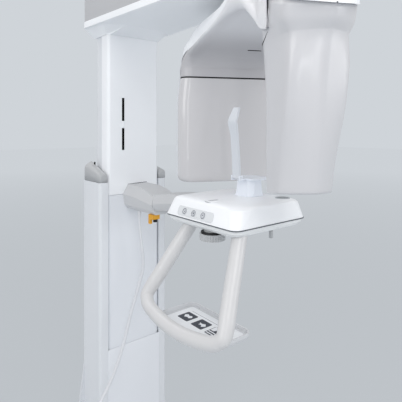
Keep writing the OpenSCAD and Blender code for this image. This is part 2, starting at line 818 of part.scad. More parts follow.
// Plan section of the detector limb between two depths
function limb_section(a0, a1, half, r_in, r_out, z) =
    lift_to(rounded(a0, -half, a1, half, [r_in, r_out, r_out, r_in], 5), z);

// Distance by which the limb's outline draws in towards its bottom, and more gently towards its top
function draw_in(h) = h >= 22 ? max(0, (h - limb_h + draw_h) / draw_h) * draw_top : 22 - sqrt(22 * 22 - (22 - h) * (22 - h));
draw_h = 90;
draw_top = 10;
limb_h = panel_top - detector_bottom;

module detector_panel() {
    half = panel_w / 2;
    levels = [0, 3, 8, 14, 22, limb_h - draw_h, limb_h - draw_h / 2, limb_h];
    color("silver") on_gantry() difference() {
        loft([for (h = levels) let (d = draw_in(h))
            limb_section(panel_a + d * 0.25, panel_a + panel_t, half - d, panel_r, 2, detector_bottom + h)]);
        loft([for (h = [shell_t, 22, limb_h - draw_h, limb_h - shell_t]) let (d = draw_in(h))
            limb_section(panel_a + shell_t + d * 0.25, panel_a + panel_t + 1, half - d - shell_t, panel_r - shell_t, 1,
                detector_bottom + h)]);
    }
}

module detector_cover() {
    half = panel_w / 2;
    levels = [6, 9, 14, 20, 28, limb_h - draw_h, limb_h];
    color("whitesmoke") on_gantry() difference() {
        loft([for (h = levels) let (d = draw_in(h < 28 ? h - 6 : h))
            limb_section(panel_a + panel_t + gap, detector_out - d, half - d, 2, 50, detector_bottom + h)]);
        loft([for (h = [10, 28, limb_h - draw_h, limb_h + 1]) let (d = draw_in(h < 28 ? h - 6 : h))
            limb_section(panel_a + panel_t - 1, detector_out - d - shell_t, half - d - shell_t, 1, 46,
                detector_bottom + h)]);
    }
}

module detector_sensor() {
    color("dimgray") on_gantry()
        box(detector_out - 72, detector_out - 42, -130, 130, detector_bottom + 70, detector_bottom + 330);
}

// Support arm below the gantry

// Eight-sided section across the arm: half widths at its top, waist and bottom, and three heights
function arm_section(y, x0, x1, waist, top, mid, low, chamfer) =
    [[x0 + chamfer, y, top], [x0, y, mid], [x0 + waist, y, low + 17], [x0 + waist + 14, y, low],
        [x1 - waist - 14, y, low], [x1 - waist, y, low + 17], [x1, y, mid], [x1 - chamfer, y, top]];

module support_bracket() {
    color("darkgray") difference() {
        loft([arm_section(front_y, -58, 91, 9, arm_top + 2, arm_top - 40, bracket_low, 25),
            arm_section(front_y - 105, -56, 88, 8, arm_top, arm_top - 44, bracket_low, 20),
            arm_section(bracket_y1 + 61, -53, 82, 7, arm_top - 10, arm_top - 53, stop_z, 14),
            arm_section(bracket_y1, -49, 76, 5, arm_top - 28, arm_top - 60, stop_z, 9)]);
        rod(gland_pos[0], gland_pos[1], bracket_low - 1, bracket_low + 20, cord_d / 2 + 0.5);
    }
}

module support_arm() {
    low_tip = table_low_z - 7;
    color("darkgray") {
        loft([arm_section(bracket_y1 - gap, -46, 72, 4, arm_top - 18, arm_top - 56, arm_low - 24, 7),
            arm_section(arm_mid_y, -45, 68, 4, arm_top, arm_top - 35, arm_low, 7),
            arm_section(arm_tip_y, -42, 60, 4, arm_top, arm_top - 20, low_tip - 8, 7)]);
        box(-40, 44, tongue_y, arm_tip_y + 1, low_tip - 14, table_low_z);
    }
}

module stop_housing() {
    x = stop_pos[0];
    y = stop_pos[1];
    h = stop_w / 2;
    color("orange") difference() {
        union() {
            box(x - h, x + h, y - h, y + h, stop_z - 19, stop_z);
            box(x - h, x - h + 10, y + h - 14, y + h, stop_z - 39, stop_z - 18);
        }
        rod(x + 6, y, stop_z - 20, stop_z - 19 + stop_travel + 4, stop_r - 3 + gap);
    }
}

module stop_button() {
    color("black") {
        rod(stop_pos[0] + 6, stop_pos[1], stop_z - 33, stop_z - 19 - stop_travel - gap, stop_r);
        rod(stop_pos[0] + 6, stop_pos[1], stop_z - 24, stop_z - 16, stop_r - 3);
    }
}

module cord_gland() {
    color("whitesmoke") {
        rod(gland_pos[0], gland_pos[1], bracket_low - gland_h, bracket_low, gland_r - 2);
        translate([gland_pos[0], gland_pos[1], bracket_low - gland_h / 2]) cylinder(r = gland_r, h = gland_h / 2, $fn = 6);
    }
}

// Patient table

function table_section(in, r_near, r_far, z) = lift_to(rounded(table_x0 + in, table_y0 + in,
    table_x1 - in, table_y1 - in, [r_near, r_far, r_far, r_far], 7), z);

function table_level(x_in, y_in, r_near, z) = lift_to(rounded(table_x0 + x_in, table_y0 + y_in,
    table_x1 - x_in, table_y1 - x_in, [r_near, 24 + x_in / 2, 20, 20], 7), z);

module table_body(t, up) {
    loft([table_level(t, t, 24, table_seam_z - up), table_level(slope_x + t, 3 + t, 50, table_seam_z + slope_h),
        table_level(slope_x + 5 + t, 6 + t, 62, table_top_z - t - 3.5), table_level(slope_x + 13 + t, 13 + t, 62, table_top_z - t)]);
}

// Places its children on the sloped face, +X along the face's length and +Z out of it
module on_button_face(y, out) {
    translate([button_mid[0], y, button_mid[2]]) rotate([0, -90 + face_tilt, 0]) translate([0, 0, out]) rotate([0, 0, 90])
        children();
}

module table_top() {
    color("white") difference() {
        table_body(0, 0);
        table_body(table_wall, 1);
        rod(socket_pos[0], socket_pos[1], table_seam_z, table_top_z + 1, socket_rim + gap);
        rod(cap_pos[0], cap_pos[1], table_seam_z, table_top_z + 1, socket_rim + gap);
        rod((chin_x0 + chin_x1) / 2, -reach, table_seam_z, table_top_z + 1, spigot_r + gap);
        for (i = [-1:1]) on_button_face(button_mid[1] + i * button_pitch, -20) cylinder(d = button_d + 2 * gap, h = 30);
    }
}

module table_underside() {
    color("darkgray") difference() {
        loft([table_section(22, 24, 24, table_low_z), table_section(12, 24, 24, table_low_z + 5),
            table_section(5, 24, 24, table_low_z + 13), table_section(2.5, 24, 24, table_seam_z - 1.5)]);
        loft([table_section(22 + table_wall, 22, 22, table_low_z + table_wall), table_section(12, 22, 22, table_low_z + 10),
            table_section(2.5 + table_wall, 22, 22, table_seam_z)]);
        grip_tube(grip_d / 2 + 0.4);
        rod(cap_pos[0], cap_pos[1], table_low_z - 1, table_low_z + table_wall + 1, knob_shaft_r + gap);
        rod(clamp_pos[0], clamp_pos[1], table_low_z - 1, table_low_z + table_wall + 1, shaft_r + gap);
    }
}

module table_frame() {
    top = frame_plate_z + frame_plate_t;
    color("lightgray") difference() {
        union() {
            box(table_x0 + 30, table_x1 - 26, table_y0 + 30, table_y1 - 26, frame_plate_z, top);
            for (x = [-36, table_x1 - 37]) for (y = [table_y1 - 98, table_y1 - 40])
                rod(x, y, table_low_z + table_wall, frame_plate_z, 9);
            for (p = [[table_x0 + 78, table_y1 - 40], [table_x0 + 128, table_y0 + 58], [table_x0 + 53, table_y1 - 90]])
                rod(p[0], p[1], top, table_top_z - table_wall, 5);
        }
        rod(cap_pos[0], cap_pos[1], frame_plate_z - 1, top + 1, knob_shaft_r + gap);
        rod(clamp_pos[0], clamp_pos[1], frame_plate_z - 1, top + 1, shaft_r + gap);
        rod((chin_x0 + chin_x1) / 2, -reach, frame_plate_z - 1, top + 1, spigot_r + gap);
    }
}

module button_panel() {
    color("lightsteelblue") difference() {
        on_button_face(button_mid[1] - 5, gap)
            linear_extrude(overlay_t) polygon(rounded(-panel_len / 2, -panel_h / 2, panel_len / 2, panel_h / 2, [9, 9, 9, 9], 4));
        for (i = [-1:1]) on_button_face(button_mid[1] + i * button_pitch, -20) cylinder(d = button_d + 2 * gap, h = 30);
    }
}

module push_button(i) {
    color("white") on_button_face(button_mid[1] + i * button_pitch, overlay_t + gap + button_travel - button_len)
        cylinder(d = button_d, h = button_len);
}

module button_1() {
    push_button(1);
}

module button_2() {
    push_button(0);
}

module button_3() {
    push_button(-1);
}

// An open socket for a holder, and a closed cap over the knob's clamp
module table_sockets() {
    plate = frame_plate_z + frame_plate_t;
    color("gray") {
        difference() {
            rod(socket_pos[0], socket_pos[1], plate, table_top_z + 1, socket_rim);
            rod(socket_pos[0], socket_pos[1], table_top_z + 1 - socket_depth, table_top_z + 2, socket_r);
        }
        rod(cap_pos[0], cap_pos[1], table_top_z - 4, table_top_z + 0.5, socket_rim - 1);
        difference() {
            rod(cap_pos[0], cap_pos[1], plate, table_top_z - 4, 14);
            rod(cap_pos[0], cap_pos[1], plate - 1, plate + 16, knob_shaft_r + gap);
        }
    }
}

// Hand grip: straight legs, rounded corners and a bar that dips in its middle

function bar_point(s) = [grip_mid[0] + (grip_corner[0] - grip_mid[0]) * pow(s, grip_bow), grip_low_half * s,
    grip_mid[2] + (grip_corner[2] - grip_mid[2]) * pow(s, grip_bow)];

grip_half = let (near = grip_top + (grip_corner - grip_top) * 0.92, far = bar_point(0.8), mid = (near + far) / 2)
    [grip_top, grip_top + (grip_corner - grip_top) * 0.35, grip_top + (grip_corner - grip_top) * 0.7,
        near, mid + (grip_corner - mid) * 0.35, far, bar_point(0.55), bar_point(0.27)];

grip_points = concat(grip_half, [grip_mid], [for (i = [len(grip_half) - 1:-1:0])
    [grip_half[i][0], -grip_half[i][1], grip_half[i][2]]]);

module grip_tube(r) {
    translate([0, grip_y, 0]) difference() {
        sweep(through(grip_points, 3), r, 20, [1, 0, 0]);
        box(-400, 0, -300, 300, frame_plate_z, frame_plate_z + 60);
    }
}

module grip_frame() {
    color("gainsboro") grip_tube(grip_d / 2);
}

function tray_outline(in, r) = rounded(tray_x0 - 14 + in, -tray_near + in, tray_x1 - in, tray_far - in, r);

module item_tray() {
    color("white") difference() {
        translate([0, -reach, 0]) difference() {
            loft([for (s = [[4, tray_z - 8], [0, tray_z], [0, tray_z + tray_rim]])
                lift_to(tray_outline(s[0], [28, 22, 28, 28]), s[1])]);
            prism(tray_outline(4, [25, 19, 25, 25]), tray_z - 4, tray_z + tray_rim + 1);
        }
        grip_tube(grip_d / 2 + 0.2);
    }
}

module tray_card() {
    color("white") translate([0, -reach, 0])
        prism(rounded(tray_x0 + 21, -tray_near + 18, tray_x1 - 12, tray_far - 14, [8, 8, 8, 8], 3), tray_z - 4, tray_z - 3.2);
}

module adjusting_knob() {
    flutes = 30;
    color("gray") {
        translate([cap_pos[0], cap_pos[1], knob_z]) linear_extrude(knob_h) polygon([for (i = [0:4 * flutes - 1])
            (knob_r - (i % 4 < 2 ? 0 : 1.6)) * [cos(i * 90 / flutes), sin(i * 90 / flutes)]]);
        rod(cap_pos[0], cap_pos[1], knob_z + knob_h - 1, frame_plate_z + frame_plate_t + 15, knob_shaft_r);
        rod(cap_pos[0], cap_pos[1], knob_z + knob_h - 1, table_low_z - gap, 24);
    }
}

module clamp_screw() {
    x = clamp_pos[0];
    y = clamp_pos[1];
    color("gray") {
        rod(x, y, table_low_z - 36, table_low_z - 12, 6);
        box(x - 13, x + 13, y - 4, y + 4, table_low_z - 12, table_low_z - 5);
        rod(x, y, table_low_z - 6, frame_plate_z + frame_plate_t, shaft_r);
    }
}

// Chin rest: a faceted body, a thin plate and the ears of the forehead support
module chin_rest() {
    mid = (chin_x0 + chin_x1) / 2;
    half = (chin_x1 - chin_x0) / 2;
    function block(w, c, z) = [[mid + w, c - chin_half, z], [mid + w, chin_half - c, z], [mid + w - c, chin_half, z],
        [mid - w + c, chin_half, z], [mid - w, chin_half - c, z], [mid - w, c - chin_half, z], [mid - w + c, -chin_half, z],
        [mid + w - c, -chin_half, z]];
    color("white") translate([0, -reach, 0]) difference() {
        union() {
            loft([block(half + 3, 12, table_top_z + gap), block(half, 14, table_top_z + 12), block(half - 3, 16, chin_top)]);
            prism(rounded(chin_x0, -chin_plate_w / 2, chin_x1 + 22, chin_plate_w / 2, [18, 30, 30, 18]), chin_top,
                chin_top + chin_plate_t);
            box(pivot_x - 6, chin_x0 + 10, -blade_w / 2 - gap - ear_t, blade_w / 2 + gap + ear_t, chin_top, chin_top + chin_plate_t);
            for (s = [-1, 1]) box(pivot_x - 6, pivot_x + 7, s * (blade_w / 2 + gap + ear_t / 2) - ear_t / 2,
                s * (blade_w / 2 + gap + ear_t / 2) + ear_t / 2, chin_top, forehead_z + 6);
            rod(mid, 0, frame_plate_z, table_top_z + 1, spigot_r);
        }
        box(pivot_x - 9, pivot_x + 14, -blade_w / 2 - gap, blade_w / 2 + gap, chin_top - 1, forehead_z + 20);
        translate([pivot_x, 40, forehead_z]) rotate([90, 0, 0]) cylinder(r = pivot_r + bearing_gap, h = 80);
    }
}

module forehead_support() {
    profile = [[-3.5, 0], [-6, 60], [-12, 128], [-21, 166], [-20, 173], [-3, 211], [2, 212], [4, 209], [-13, 172],
        [-14, 166], [-6, 128], [0, 60], [3.5, 0]];
    front = [[-blade_w / 2, -1], [-blade_w / 2, 130], [-blade_head / 2, 158], [-blade_head / 2, 176], [-11, 213],
        [11, 213], [blade_head / 2, 176], [blade_head / 2, 158], [blade_w / 2, 130], [blade_w / 2, -1]];
    color("white") translate([pivot_x, -reach, forehead_z]) {
        intersection() {
            rotate([90, 0, 0]) translate([0, 0, -blade_head / 2]) linear_extrude(blade_head) polygon(profile);
            rotate([90, 0, 90]) translate([0, 0, -40]) linear_extrude(80) polygon(front);
        }
        rotate([90, 0, 0]) translate([0, 0, -blade_w / 2]) cylinder(r = 5.5, h = blade_w);
        rotate([90, 0, 0]) translate([0, 0, -blade_w / 2 - ear_t - gap]) cylinder(r = pivot_r, h = blade_w + 2 * (ear_t + gap));
    }
}

// Exposure cord with its coil and hand switch

module cable() {
    low = bracket_low - gland_h;
    color("white") difference() {
        sweep(through(cord_points, 2), cord_d / 2, 10, [0.2, 1, 0.1]);
        rod(gland_pos[0], gland_pos[1], low, low + 4, cord_d);
    }
}

module cord_coil() {
    color("white") translate([coil_pos[0], coil_pos[1], 0]) rotate_extrude() translate([coil_r - coil_t / 2, 0])
        polygon(rounded(0, 0, coil_t, coil_t, [5, 5, 5, 5], 3));
}

module hand_switch() {
    color("white") translate([switch_x0, switch_y, switch_r]) rotate([0, -90, 0]) difference() {
        union() {
            cylinder(r = switch_r, h = switch_len);
            translate([0, 0, -boot_len]) cylinder(r1 = 5, r2 = 9, h = boot_len);
            translate([0, 0, 2 - boot_len]) rotate([90, 0, 0]) cylinder(d = cord_d, h = 12);
        }
        translate([0, 0, switch_len - switch_seat - switch_travel - 0.5]) cylinder(r = 7 + gap, h = 20);
    }
}

module switch_button() {
    color("gray") translate([switch_x0 - switch_len + switch_seat, switch_y, switch_r]) rotate([0, -90, 0])
        cylinder(r = 7, h = switch_seat + switch_travel + 3);
}

base_plate();
fixed_stand();
post_caps();
lower_front_cover();
guide_mast();
guide_rails();
lift_motor();
lift_drive_tube();
column_core();
upper_front_cover();
lower_column_cover();
slot_insert();
guide_blocks();
lift_push_tube();
neck_collar();
arm_frame();
arm_lower_shell();
arm_side_cover();
arm_top_cover();
arm_rails();
control_unit();
carriage_plate();
bearing_ring();
turn_motor();
drive_belt();
drive_pulley();
turntable();
gantry_frame();
beam_cover();
beam_underside();
tube_cover();
tube_head();
collimator();
detector_cover();
detector_panel();
detector_sensor();
support_bracket();
support_arm();
stop_housing();
stop_button();
cord_gland();
table_frame();
table_top();
table_underside();
button_panel();
button_1();
button_2();
button_3();
table_sockets();
grip_frame();
item_tray();
tray_card();
adjusting_knob();
clamp_screw();
chin_rest();
forehead_support();
cable();
cord_coil();
hand_switch();
switch_button();
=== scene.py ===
"""Looks of the dental cone beam scanner: lift column, overhead arm, C-shaped gantry and patient table."""

import math

import bmesh
import bpy
from mathutils import Matrix, Vector


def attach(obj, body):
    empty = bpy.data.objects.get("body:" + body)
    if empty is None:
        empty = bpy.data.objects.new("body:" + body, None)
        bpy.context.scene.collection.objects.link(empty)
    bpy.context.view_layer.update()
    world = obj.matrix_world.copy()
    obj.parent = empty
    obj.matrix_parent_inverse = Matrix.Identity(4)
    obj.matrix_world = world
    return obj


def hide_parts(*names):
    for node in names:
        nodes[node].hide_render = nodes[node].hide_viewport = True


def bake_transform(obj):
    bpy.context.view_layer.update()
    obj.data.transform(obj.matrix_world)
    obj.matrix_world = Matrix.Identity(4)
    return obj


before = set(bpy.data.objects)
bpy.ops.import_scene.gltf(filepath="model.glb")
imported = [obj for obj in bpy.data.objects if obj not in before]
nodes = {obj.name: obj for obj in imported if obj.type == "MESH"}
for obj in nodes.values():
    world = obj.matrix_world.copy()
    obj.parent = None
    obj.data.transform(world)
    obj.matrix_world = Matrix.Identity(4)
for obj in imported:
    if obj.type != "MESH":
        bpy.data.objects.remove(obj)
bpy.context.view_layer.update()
scene = bpy.context.scene
MM = 0.001

# Sizes shared with the CAD model, in millimetres and degrees. The gantry's own frame has its X axis along the
# beam, from the turning axis to the detector limb.

REACH = 850
GANTRY_ANGLE = 63.4
TUBE_FACE = -258
TUBE_OUT = -390
TUBE_HALF = 73
TUBE_BOTTOM = 1347
TUBE_TOP = 1788
TUBE_LEAN = 0.17
SHOULDER_Z = 1714
SHOULDER = 17
THROAT_Z = 1540
BEAM_TOP = 1902
PANEL_FACE = 250
PANEL_BACK = 296
PANEL_HALF = 198
DETECTOR_OUT = 360
DETECTOR_BOTTOM = 1305
LIMB_H = 384
DRAW_H = 90
DRAW_TOP = 10
LIP_Z = 1693
COLUMN_FRONT = -100
POST_IN, POST_OUT = 132.5, 172
POST_FRONT, POST_REAR = -104, 60
CAP_BOTTOM = 1268.3
FACE_TILT = math.atan(16 / 46)
BUTTON_MID = Vector((-228 + 16 * 18 / 46, -821, 1258))
BUTTON_PITCH = 42
KEY_TOP = 2.7
KNOB = (-182, -856)
CLAMP = (-23, -936)
GRIP_R = 21
GRIP_Y = -862
TABLE_LEFT, TABLE_RIGHT = -228, 64
TABLE_FRONT, TABLE_REAR = -998, -682
TRAY_Z = 955
CORD_D = 9
COIL_POS = Vector((-430, -130, 0))

on_gantry = Matrix.Translation((0, -REACH * MM, 0)) @ Matrix.Rotation(math.radians(GANTRY_ANGLE), 4, "Z")
on_tube_face = on_gantry @ Matrix(((0, 0, 1, TUBE_FACE * MM), (1, 0, 0, 0), (0, 1, 0, 0), (0, 0, 0, 1)))
on_button_face = (Matrix.Translation(BUTTON_MID * MM) @ Matrix.Rotation(FACE_TILT - math.pi / 2, 4, "Y")
                  @ Matrix.Rotation(math.pi / 2, 4, "Z"))


def shift(x, y, z=0):
    """A move in millimetres."""
    return Matrix.Translation((x * MM, y * MM, z * MM))


def on_column_front(x, z):
    """Stands a flat outline up against the column's front, with its heights away from the column."""
    return Matrix(((1, 0, 0, x * MM), (0, 0, -1, COLUMN_FRONT * MM), (0, 1, 0, z * MM), (0, 0, 0, 1)))


def share_of(value, start, end):
    """How far a value has come on its way from start to end, from 0 to 1."""
    return min(1.0, max(0.0, (value - start) / (end - start)))


def eased(t):
    """A share of 0 to 1 that starts and ends gently."""
    return t * t * (3 - 2 * t)


# Meshes, from outlines and points in millimetres


def add_mesh(name, points, faces, material, body, matrix=Matrix(), smooth=True):
    """A mesh with outward normals and a material, which rides on a CAD body where one is named."""
    mesh = bpy.data.meshes.new(name)
    mesh.from_pydata([matrix @ (Vector(p) * MM) for p in points], [], faces)
    mesh.validate()
    bm = bmesh.new()
    bm.from_mesh(mesh)
    bmesh.ops.recalc_face_normals(bm, faces=bm.faces)
    bm.to_mesh(mesh)
    bm.free()
    mesh.polygons.foreach_set("use_smooth", [smooth] * len(mesh.polygons))
    mesh.materials.append(material)
    obj = bpy.data.objects.new(name, mesh)
    scene.collection.objects.link(obj)
    if body:
        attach(obj, body)
    return obj


def loft(name, rings, material, body, matrix=Matrix()):
    """A smooth closed skin through rings of points, with two flat ends."""
    n = len(rings[0])
    points = [p for ring in rings for p in ring]
    faces = [(i * n + j, i * n + (j + 1) % n, (i + 1) * n + (j + 1) % n, (i + 1) * n + j)
             for i in range(len(rings) - 1) for j in range(n)]
    faces += [tuple(range(n)), tuple((len(rings) - 1) * n + j for j in range(n))]
    obj = add_mesh(name, points, faces, material, body, matrix)
    for end in list(obj.data.polygons)[-2:]:
        end.use_smooth = False
    return obj


def at(outline, z):
    """A flat outline's points at a height."""
    return [(p[0], p[1], z) for p in outline]


def plate(name, outline, low, high, material, body, matrix=Matrix()):
    """A flat outline's solid between two heights."""
    return loft(name, [at(outline, low), at(outline, high)], material, body, matrix)


def ellipse(rx, ry, sides):
    angles = [2 * math.pi * k / sides for k in range(sides)]
    return [(rx * math.cos(a), ry * math.sin(a)) for a in angles]


def ring_plate(name, r, width, low, high, material, body, matrix, sides=40):
    """A flat ring of an outer radius and a width between two heights."""
    outer, inner = ellipse(r, r, sides), ellipse(r - width, r - width, sides)
    points = at(outer, low) + at(outer, high) + at(inner, high) + at(inner, low)
    faces = []
    for loop in range(4):
        this, following = loop * sides, (loop + 1) % 4 * sides
        faces += [(this + j, this + (j + 1) % sides, following + (j + 1) % sides, following + j)
                  for j in range(sides)]
    return add_mesh(name, points, faces, material, body, matrix, smooth=False)


def round_loop(corners, radii, steps=5):
    """A closed outline with each corner rounded by a short curve, with one radius or one for each corner."""
    if not isinstance(radii, list):
        radii = [radii] * len(corners)
    result = []
    for i, corner in enumerate(corners):
        p = Vector(corner)
        before = Vector(corners[i - 1]) - p
        after = Vector(corners[(i + 1) % len(corners)]) - p
        start = p + before.normalized() * min(radii[i], before.length * 0.48)
        end = p + after.normalized() * min(radii[i], after.length * 0.48)
        for k in range(steps + 1):
            t = k / steps
            result.append(start * (1 - t) ** 2 + p * 2 * t * (1 - t) + end * t ** 2)
    return result


def rounded_box(x0, y0, x1, y1, radii, steps=8):
    """A rectangle's outline with one corner radius, or with four from the lower left one on."""
    if not isinstance(radii, tuple):
        radii = (radii,) * 4
    corners = ((x0, y0, 1, 1, 180), (x1, y0, -1, 1, 270), (x1, y1, -1, -1, 0), (x0, y1, 1, -1, 90))
    result = []
    for (x, y, sx, sy, first_angle), r in zip(corners, radii):
        for k in range(steps + 1):
            a = math.radians(first_angle + 90 * k / steps)
            result.append((x + sx * r + r * math.cos(a), y + sy * r + r * math.sin(a)))
    return result


def smooth_path(points, steps):
    """A smooth curve through points, with a number of steps to each stretch."""
    p = [Vector(q) for q in points]
    result = []
    for i in range(len(p) - 1):
        a, b, c, d = p[max(i - 1, 0)], p[i], p[i + 1], p[min(i + 2, len(p) - 1)]
        for k in range(steps):
            t = k / steps
            result.append(0.5 * (2 * b + (c - a) * t + (2 * a - 5 * b + 4 * c - d) * t ** 2
                                 + (3 * b - a - 3 * c + d) * t ** 3))
    return result + [p[-1]]


def tube_rings(path, radius, sides=16, up=(0, 0, 1)):
    """Rings round a path that turn with it and don't twist. radius is a number or a function of the index."""
    rings = []
    tangent = (path[1] - path[0]).normalized()
    u = tangent.cross(Vector(up)).normalized() if abs(tangent.dot(Vector(up))) < 0.98 else Vector((1, 0, 0))
    for i, p in enumerate(path):
        tangent = (path[min(i + 1, len(path) - 1)] - path[max(i - 1, 0)]).normalized()
        u = (u - tangent * u.dot(tangent)).normalized()
        v = tangent.cross(u)
        r = radius(i) if callable(radius) else radius
        rings.append([p + (u * math.cos(a) + v * math.sin(a)) * r
                      for a in (2 * math.pi * k / sides for k in range(sides))])
    return rings


# Shader nodes


def linear(r, g, b):
    """Scene colour of an sRGB colour given in 0 to 255."""
    levels = [c / 255 / 12.92 if c <= 10 else ((c / 255 + 0.055) / 1.055) ** 2.4 for c in (r, g, b)]
    return (*levels, 1)


def add_node(tree, kind, values=None, operation=None):
    """A new shader node, with values for inputs by name or number."""
    node = tree.nodes.new("ShaderNode" + kind)
    if operation:
        node.operation = operation
    for key, value in (values or {}).items():
        node.inputs[key].default_value = value
    return node


def mix_colours(tree, first, second):
    node = tree.nodes.new("ShaderNodeMix")
    node.data_type = "RGBA"
    node.inputs["A"].default_value = first
    node.inputs["B"].default_value = second
    return node


def wire(tree, *links):
    """Links node outputs to inputs, each given as node, output, node and input."""
    for source, output, target, entry in links:
        tree.links.new(source.outputs[output], target.inputs[entry])


def seen_by(tree, first, second):
    """A value of 1 for rays of two kinds and 0 for all others."""
    rays = add_node(tree, "LightPath")
    either = add_node(tree, "Math", operation="MAXIMUM")
    wire(tree, (rays, "Is %s Ray" % first, either, 0), (rays, "Is %s Ray" % second, either, 1))
    return either


def make_material(name, colour, roughness, bump=0.05, grain=900, mottle=0.03, metallic=0.0, coat=0.0,
                  specular=0.5, streak=None, painted_shade=None):
    """A surface with slow changes of tone, uneven gloss and a fine grain, all by position on the object.

    colour is sRGB in 0 to 255. painted_shade paints shade in along a direction: it has the direction, the places
    along it in metres where the shade colour starts and where it is full, and that colour.
    """
    material = bpy.data.materials.new(name)
    material.use_nodes = True
    tree = material.node_tree
    shader = tree.nodes["Principled BSDF"]
    base = linear(*colour)
    darker = (*[c * (1 - mottle * 2) for c in base[:3]], 1)
    place = add_node(tree, "TexCoord")
    slow = add_node(tree, "TexNoise", {"Scale": 5, "Detail": 4})
    patches = add_node(tree, "TexNoise", {"Scale": 22, "Detail": 6})
    fine = add_node(tree, "TexNoise", {"Scale": grain, "Detail": 2})
    dullest, glossiest = min(1, roughness + 0.05), max(0.02, roughness - 0.05)
    gloss = add_node(tree, "MapRange", {"To Min": glossiest, "To Max": dullest})
    relief = add_node(tree, "Bump", {"Strength": bump, "Distance": 0.0004})
    tone = mix_colours(tree, base, darker)
    source = (place, "Object")
    if streak:
        stretch = add_node(tree, "Mapping", {"Scale": streak})
        wire(tree, (*source, stretch, "Vector"))
        source = (stretch, "Vector")
    wire(tree, (*source, slow, "Vector"), (*source, patches, "Vector"), (*source, fine, "Vector"),
         (slow, "Fac", tone, "Factor"), (patches, "Fac", gloss, "Value"), (fine, "Fac", relief, "Height"),
         (gloss, "Result", shader, "Roughness"), (relief, "Normal", shader, "Normal"))
    if painted_shade:
        direction, start, end, shade_colour = painted_shade
        along = add_node(tree, "VectorMath", {1: direction}, "DOT_PRODUCT")
        reach = add_node(tree, "MapRange", {"From Min": start, "From Max": end})
        reach.interpolation_type = "SMOOTHSTEP"
        far = mix_colours(tree, base, linear(*shade_colour))
        wire(tree, (place, "Object", along, 0), (along, "Value", reach, "Value"),
             (reach, "Result", far, "Factor"), (tone, "Result", far, "A"))
        tone = far
    wire(tree, (tone, "Result", shader, "Base Color"))
    shader.inputs["Metallic"].default_value = metallic
    shader.inputs["Coat Weight"].default_value = coat
    shader.inputs["Coat Roughness"].default_value = 0.12
    shader.inputs["Specular IOR Level"].default_value = specular
    return material


# Materials. The beam's underside gets darker along the beam towards the detector limb's lip, which is painted
# shade, and the metals are brushed along one axis.

beam_axis = (math.cos(math.radians(GANTRY_ANGLE)), math.sin(math.radians(GANTRY_ANGLE)), 0)
axis_shift = -REACH * MM * beam_axis[1]
UPRIGHT_BRUSH = (1, 1, 0.05)
LEVEL_BRUSH = (0.05, 1, 1)

white_cover = make_material("white_cover", (246, 248, 251), 0.42, grain=1400, bump=0.06)
white_coat = make_material("white_coat", (224, 227, 231), 0.45, grain=700, bump=0.05, mottle=0.015)
lower_white = make_material("lower_white", (230, 233, 238), 0.42, grain=1400, bump=0.04, mottle=0.02)
tray_white = make_material("tray_white", (208, 210, 213), 0.38, bump=0.03, mottle=0.015)
table_white = make_material("table_white", (244, 246, 249), 0.34, grain=1500, bump=0.03, mottle=0.01)
limb_grey = make_material("limb_grey", (207, 207, 210), 0.30, coat=0.2, bump=0.015, mottle=0.015)
panel_grey = make_material("panel_grey", (205, 204, 206), 0.16, coat=0.6, bump=0.006, mottle=0.015)
# The underside's darkening towards the lip is painted shade.
soffit_grey_painted_shade = make_material("soffit_grey_painted_shade", (233, 233, 236), 0.34, coat=0.1, bump=0.015, mottle=0.015,
                            painted_shade=(beam_axis, axis_shift + 0.04, axis_shift + 0.25, (188, 187, 190)))
arm_grey = make_material("arm_grey", (186, 187, 190), 0.42, bump=0.04)
cap_grey = make_material("cap_grey", (182, 184, 186), 0.5, bump=0.05)
under_grey = make_material("under_grey", (240, 242, 243), 0.42, bump=0.05)
casting_grey = make_material("casting_grey", (205, 206, 208), 0.5, grain=520, bump=0.08)
grip_white = make_material("grip_white", (208, 208, 209), 0.30, coat=0.15, bump=0.01, mottle=0.01)
rest_white = make_material("rest_white", (235, 240, 248), 0.30, bump=0.02, mottle=0.01)
blade_white = make_material("blade_white", (213, 217, 223), 0.30, bump=0.02, mottle=0.01)
knob_grey = make_material("knob_grey", (186, 188, 190), 0.55, bump=0.12)
socket_grey = make_material("socket_grey", (186, 190, 194), 0.5)
overlay_film = make_material("overlay_film", (223, 226, 229), 0.24, coat=0.3, bump=0.02)
key_face = make_material("key_face", (228, 231, 235), 0.32)
knob_print = make_material("knob_print", (150, 153, 158), 0.5)
key_print = make_material("key_print", (84, 90, 102), 0.5)
motif_dark = make_material("motif_dark", (52, 57, 68), 0.45)
motif_light = make_material("motif_light", (236, 238, 242), 0.45)
card_white = make_material("card_white", (238, 240, 243), 0.4)
black_plastic = make_material("black_plastic", (16, 16, 18), 0.5)
# Near black without gloss: painted shade for the inside of slots and openings.
slot_black = make_material("slot_black", (3, 3, 3), 0.9, specular=0.0)
# Grey for dark strips that are painted shade in gaps and under edges.
gap_shade_grey = make_material("gap_shade_grey", (96, 101, 108), 0.6, specular=0.2)
rubber_black = make_material("rubber_black", (24, 24, 25), 0.8, bump=0.3)
stop_yellow = make_material("stop_yellow", (226, 164, 40), 0.45, bump=0.1)
cord_white = make_material("cord_white", (220, 222, 226), 0.55, grain=300, bump=0.12)
steel = make_material("steel", (150, 152, 156), 0.36, metallic=1.0, streak=UPRIGHT_BRUSH, bump=0.1)
dark_steel = make_material("dark_steel", (86, 88, 92), 0.42, metallic=1.0, streak=UPRIGHT_BRUSH, bump=0.1)
bare_aluminium = make_material("bare_aluminium", (188, 190, 194), 0.38, metallic=1.0, streak=LEVEL_BRUSH)
board_green = make_material("board_green", (30, 92, 56), 0.5, grain=200, bump=0.4)

# Material and edge rounding, in millimetres, of each CAD node

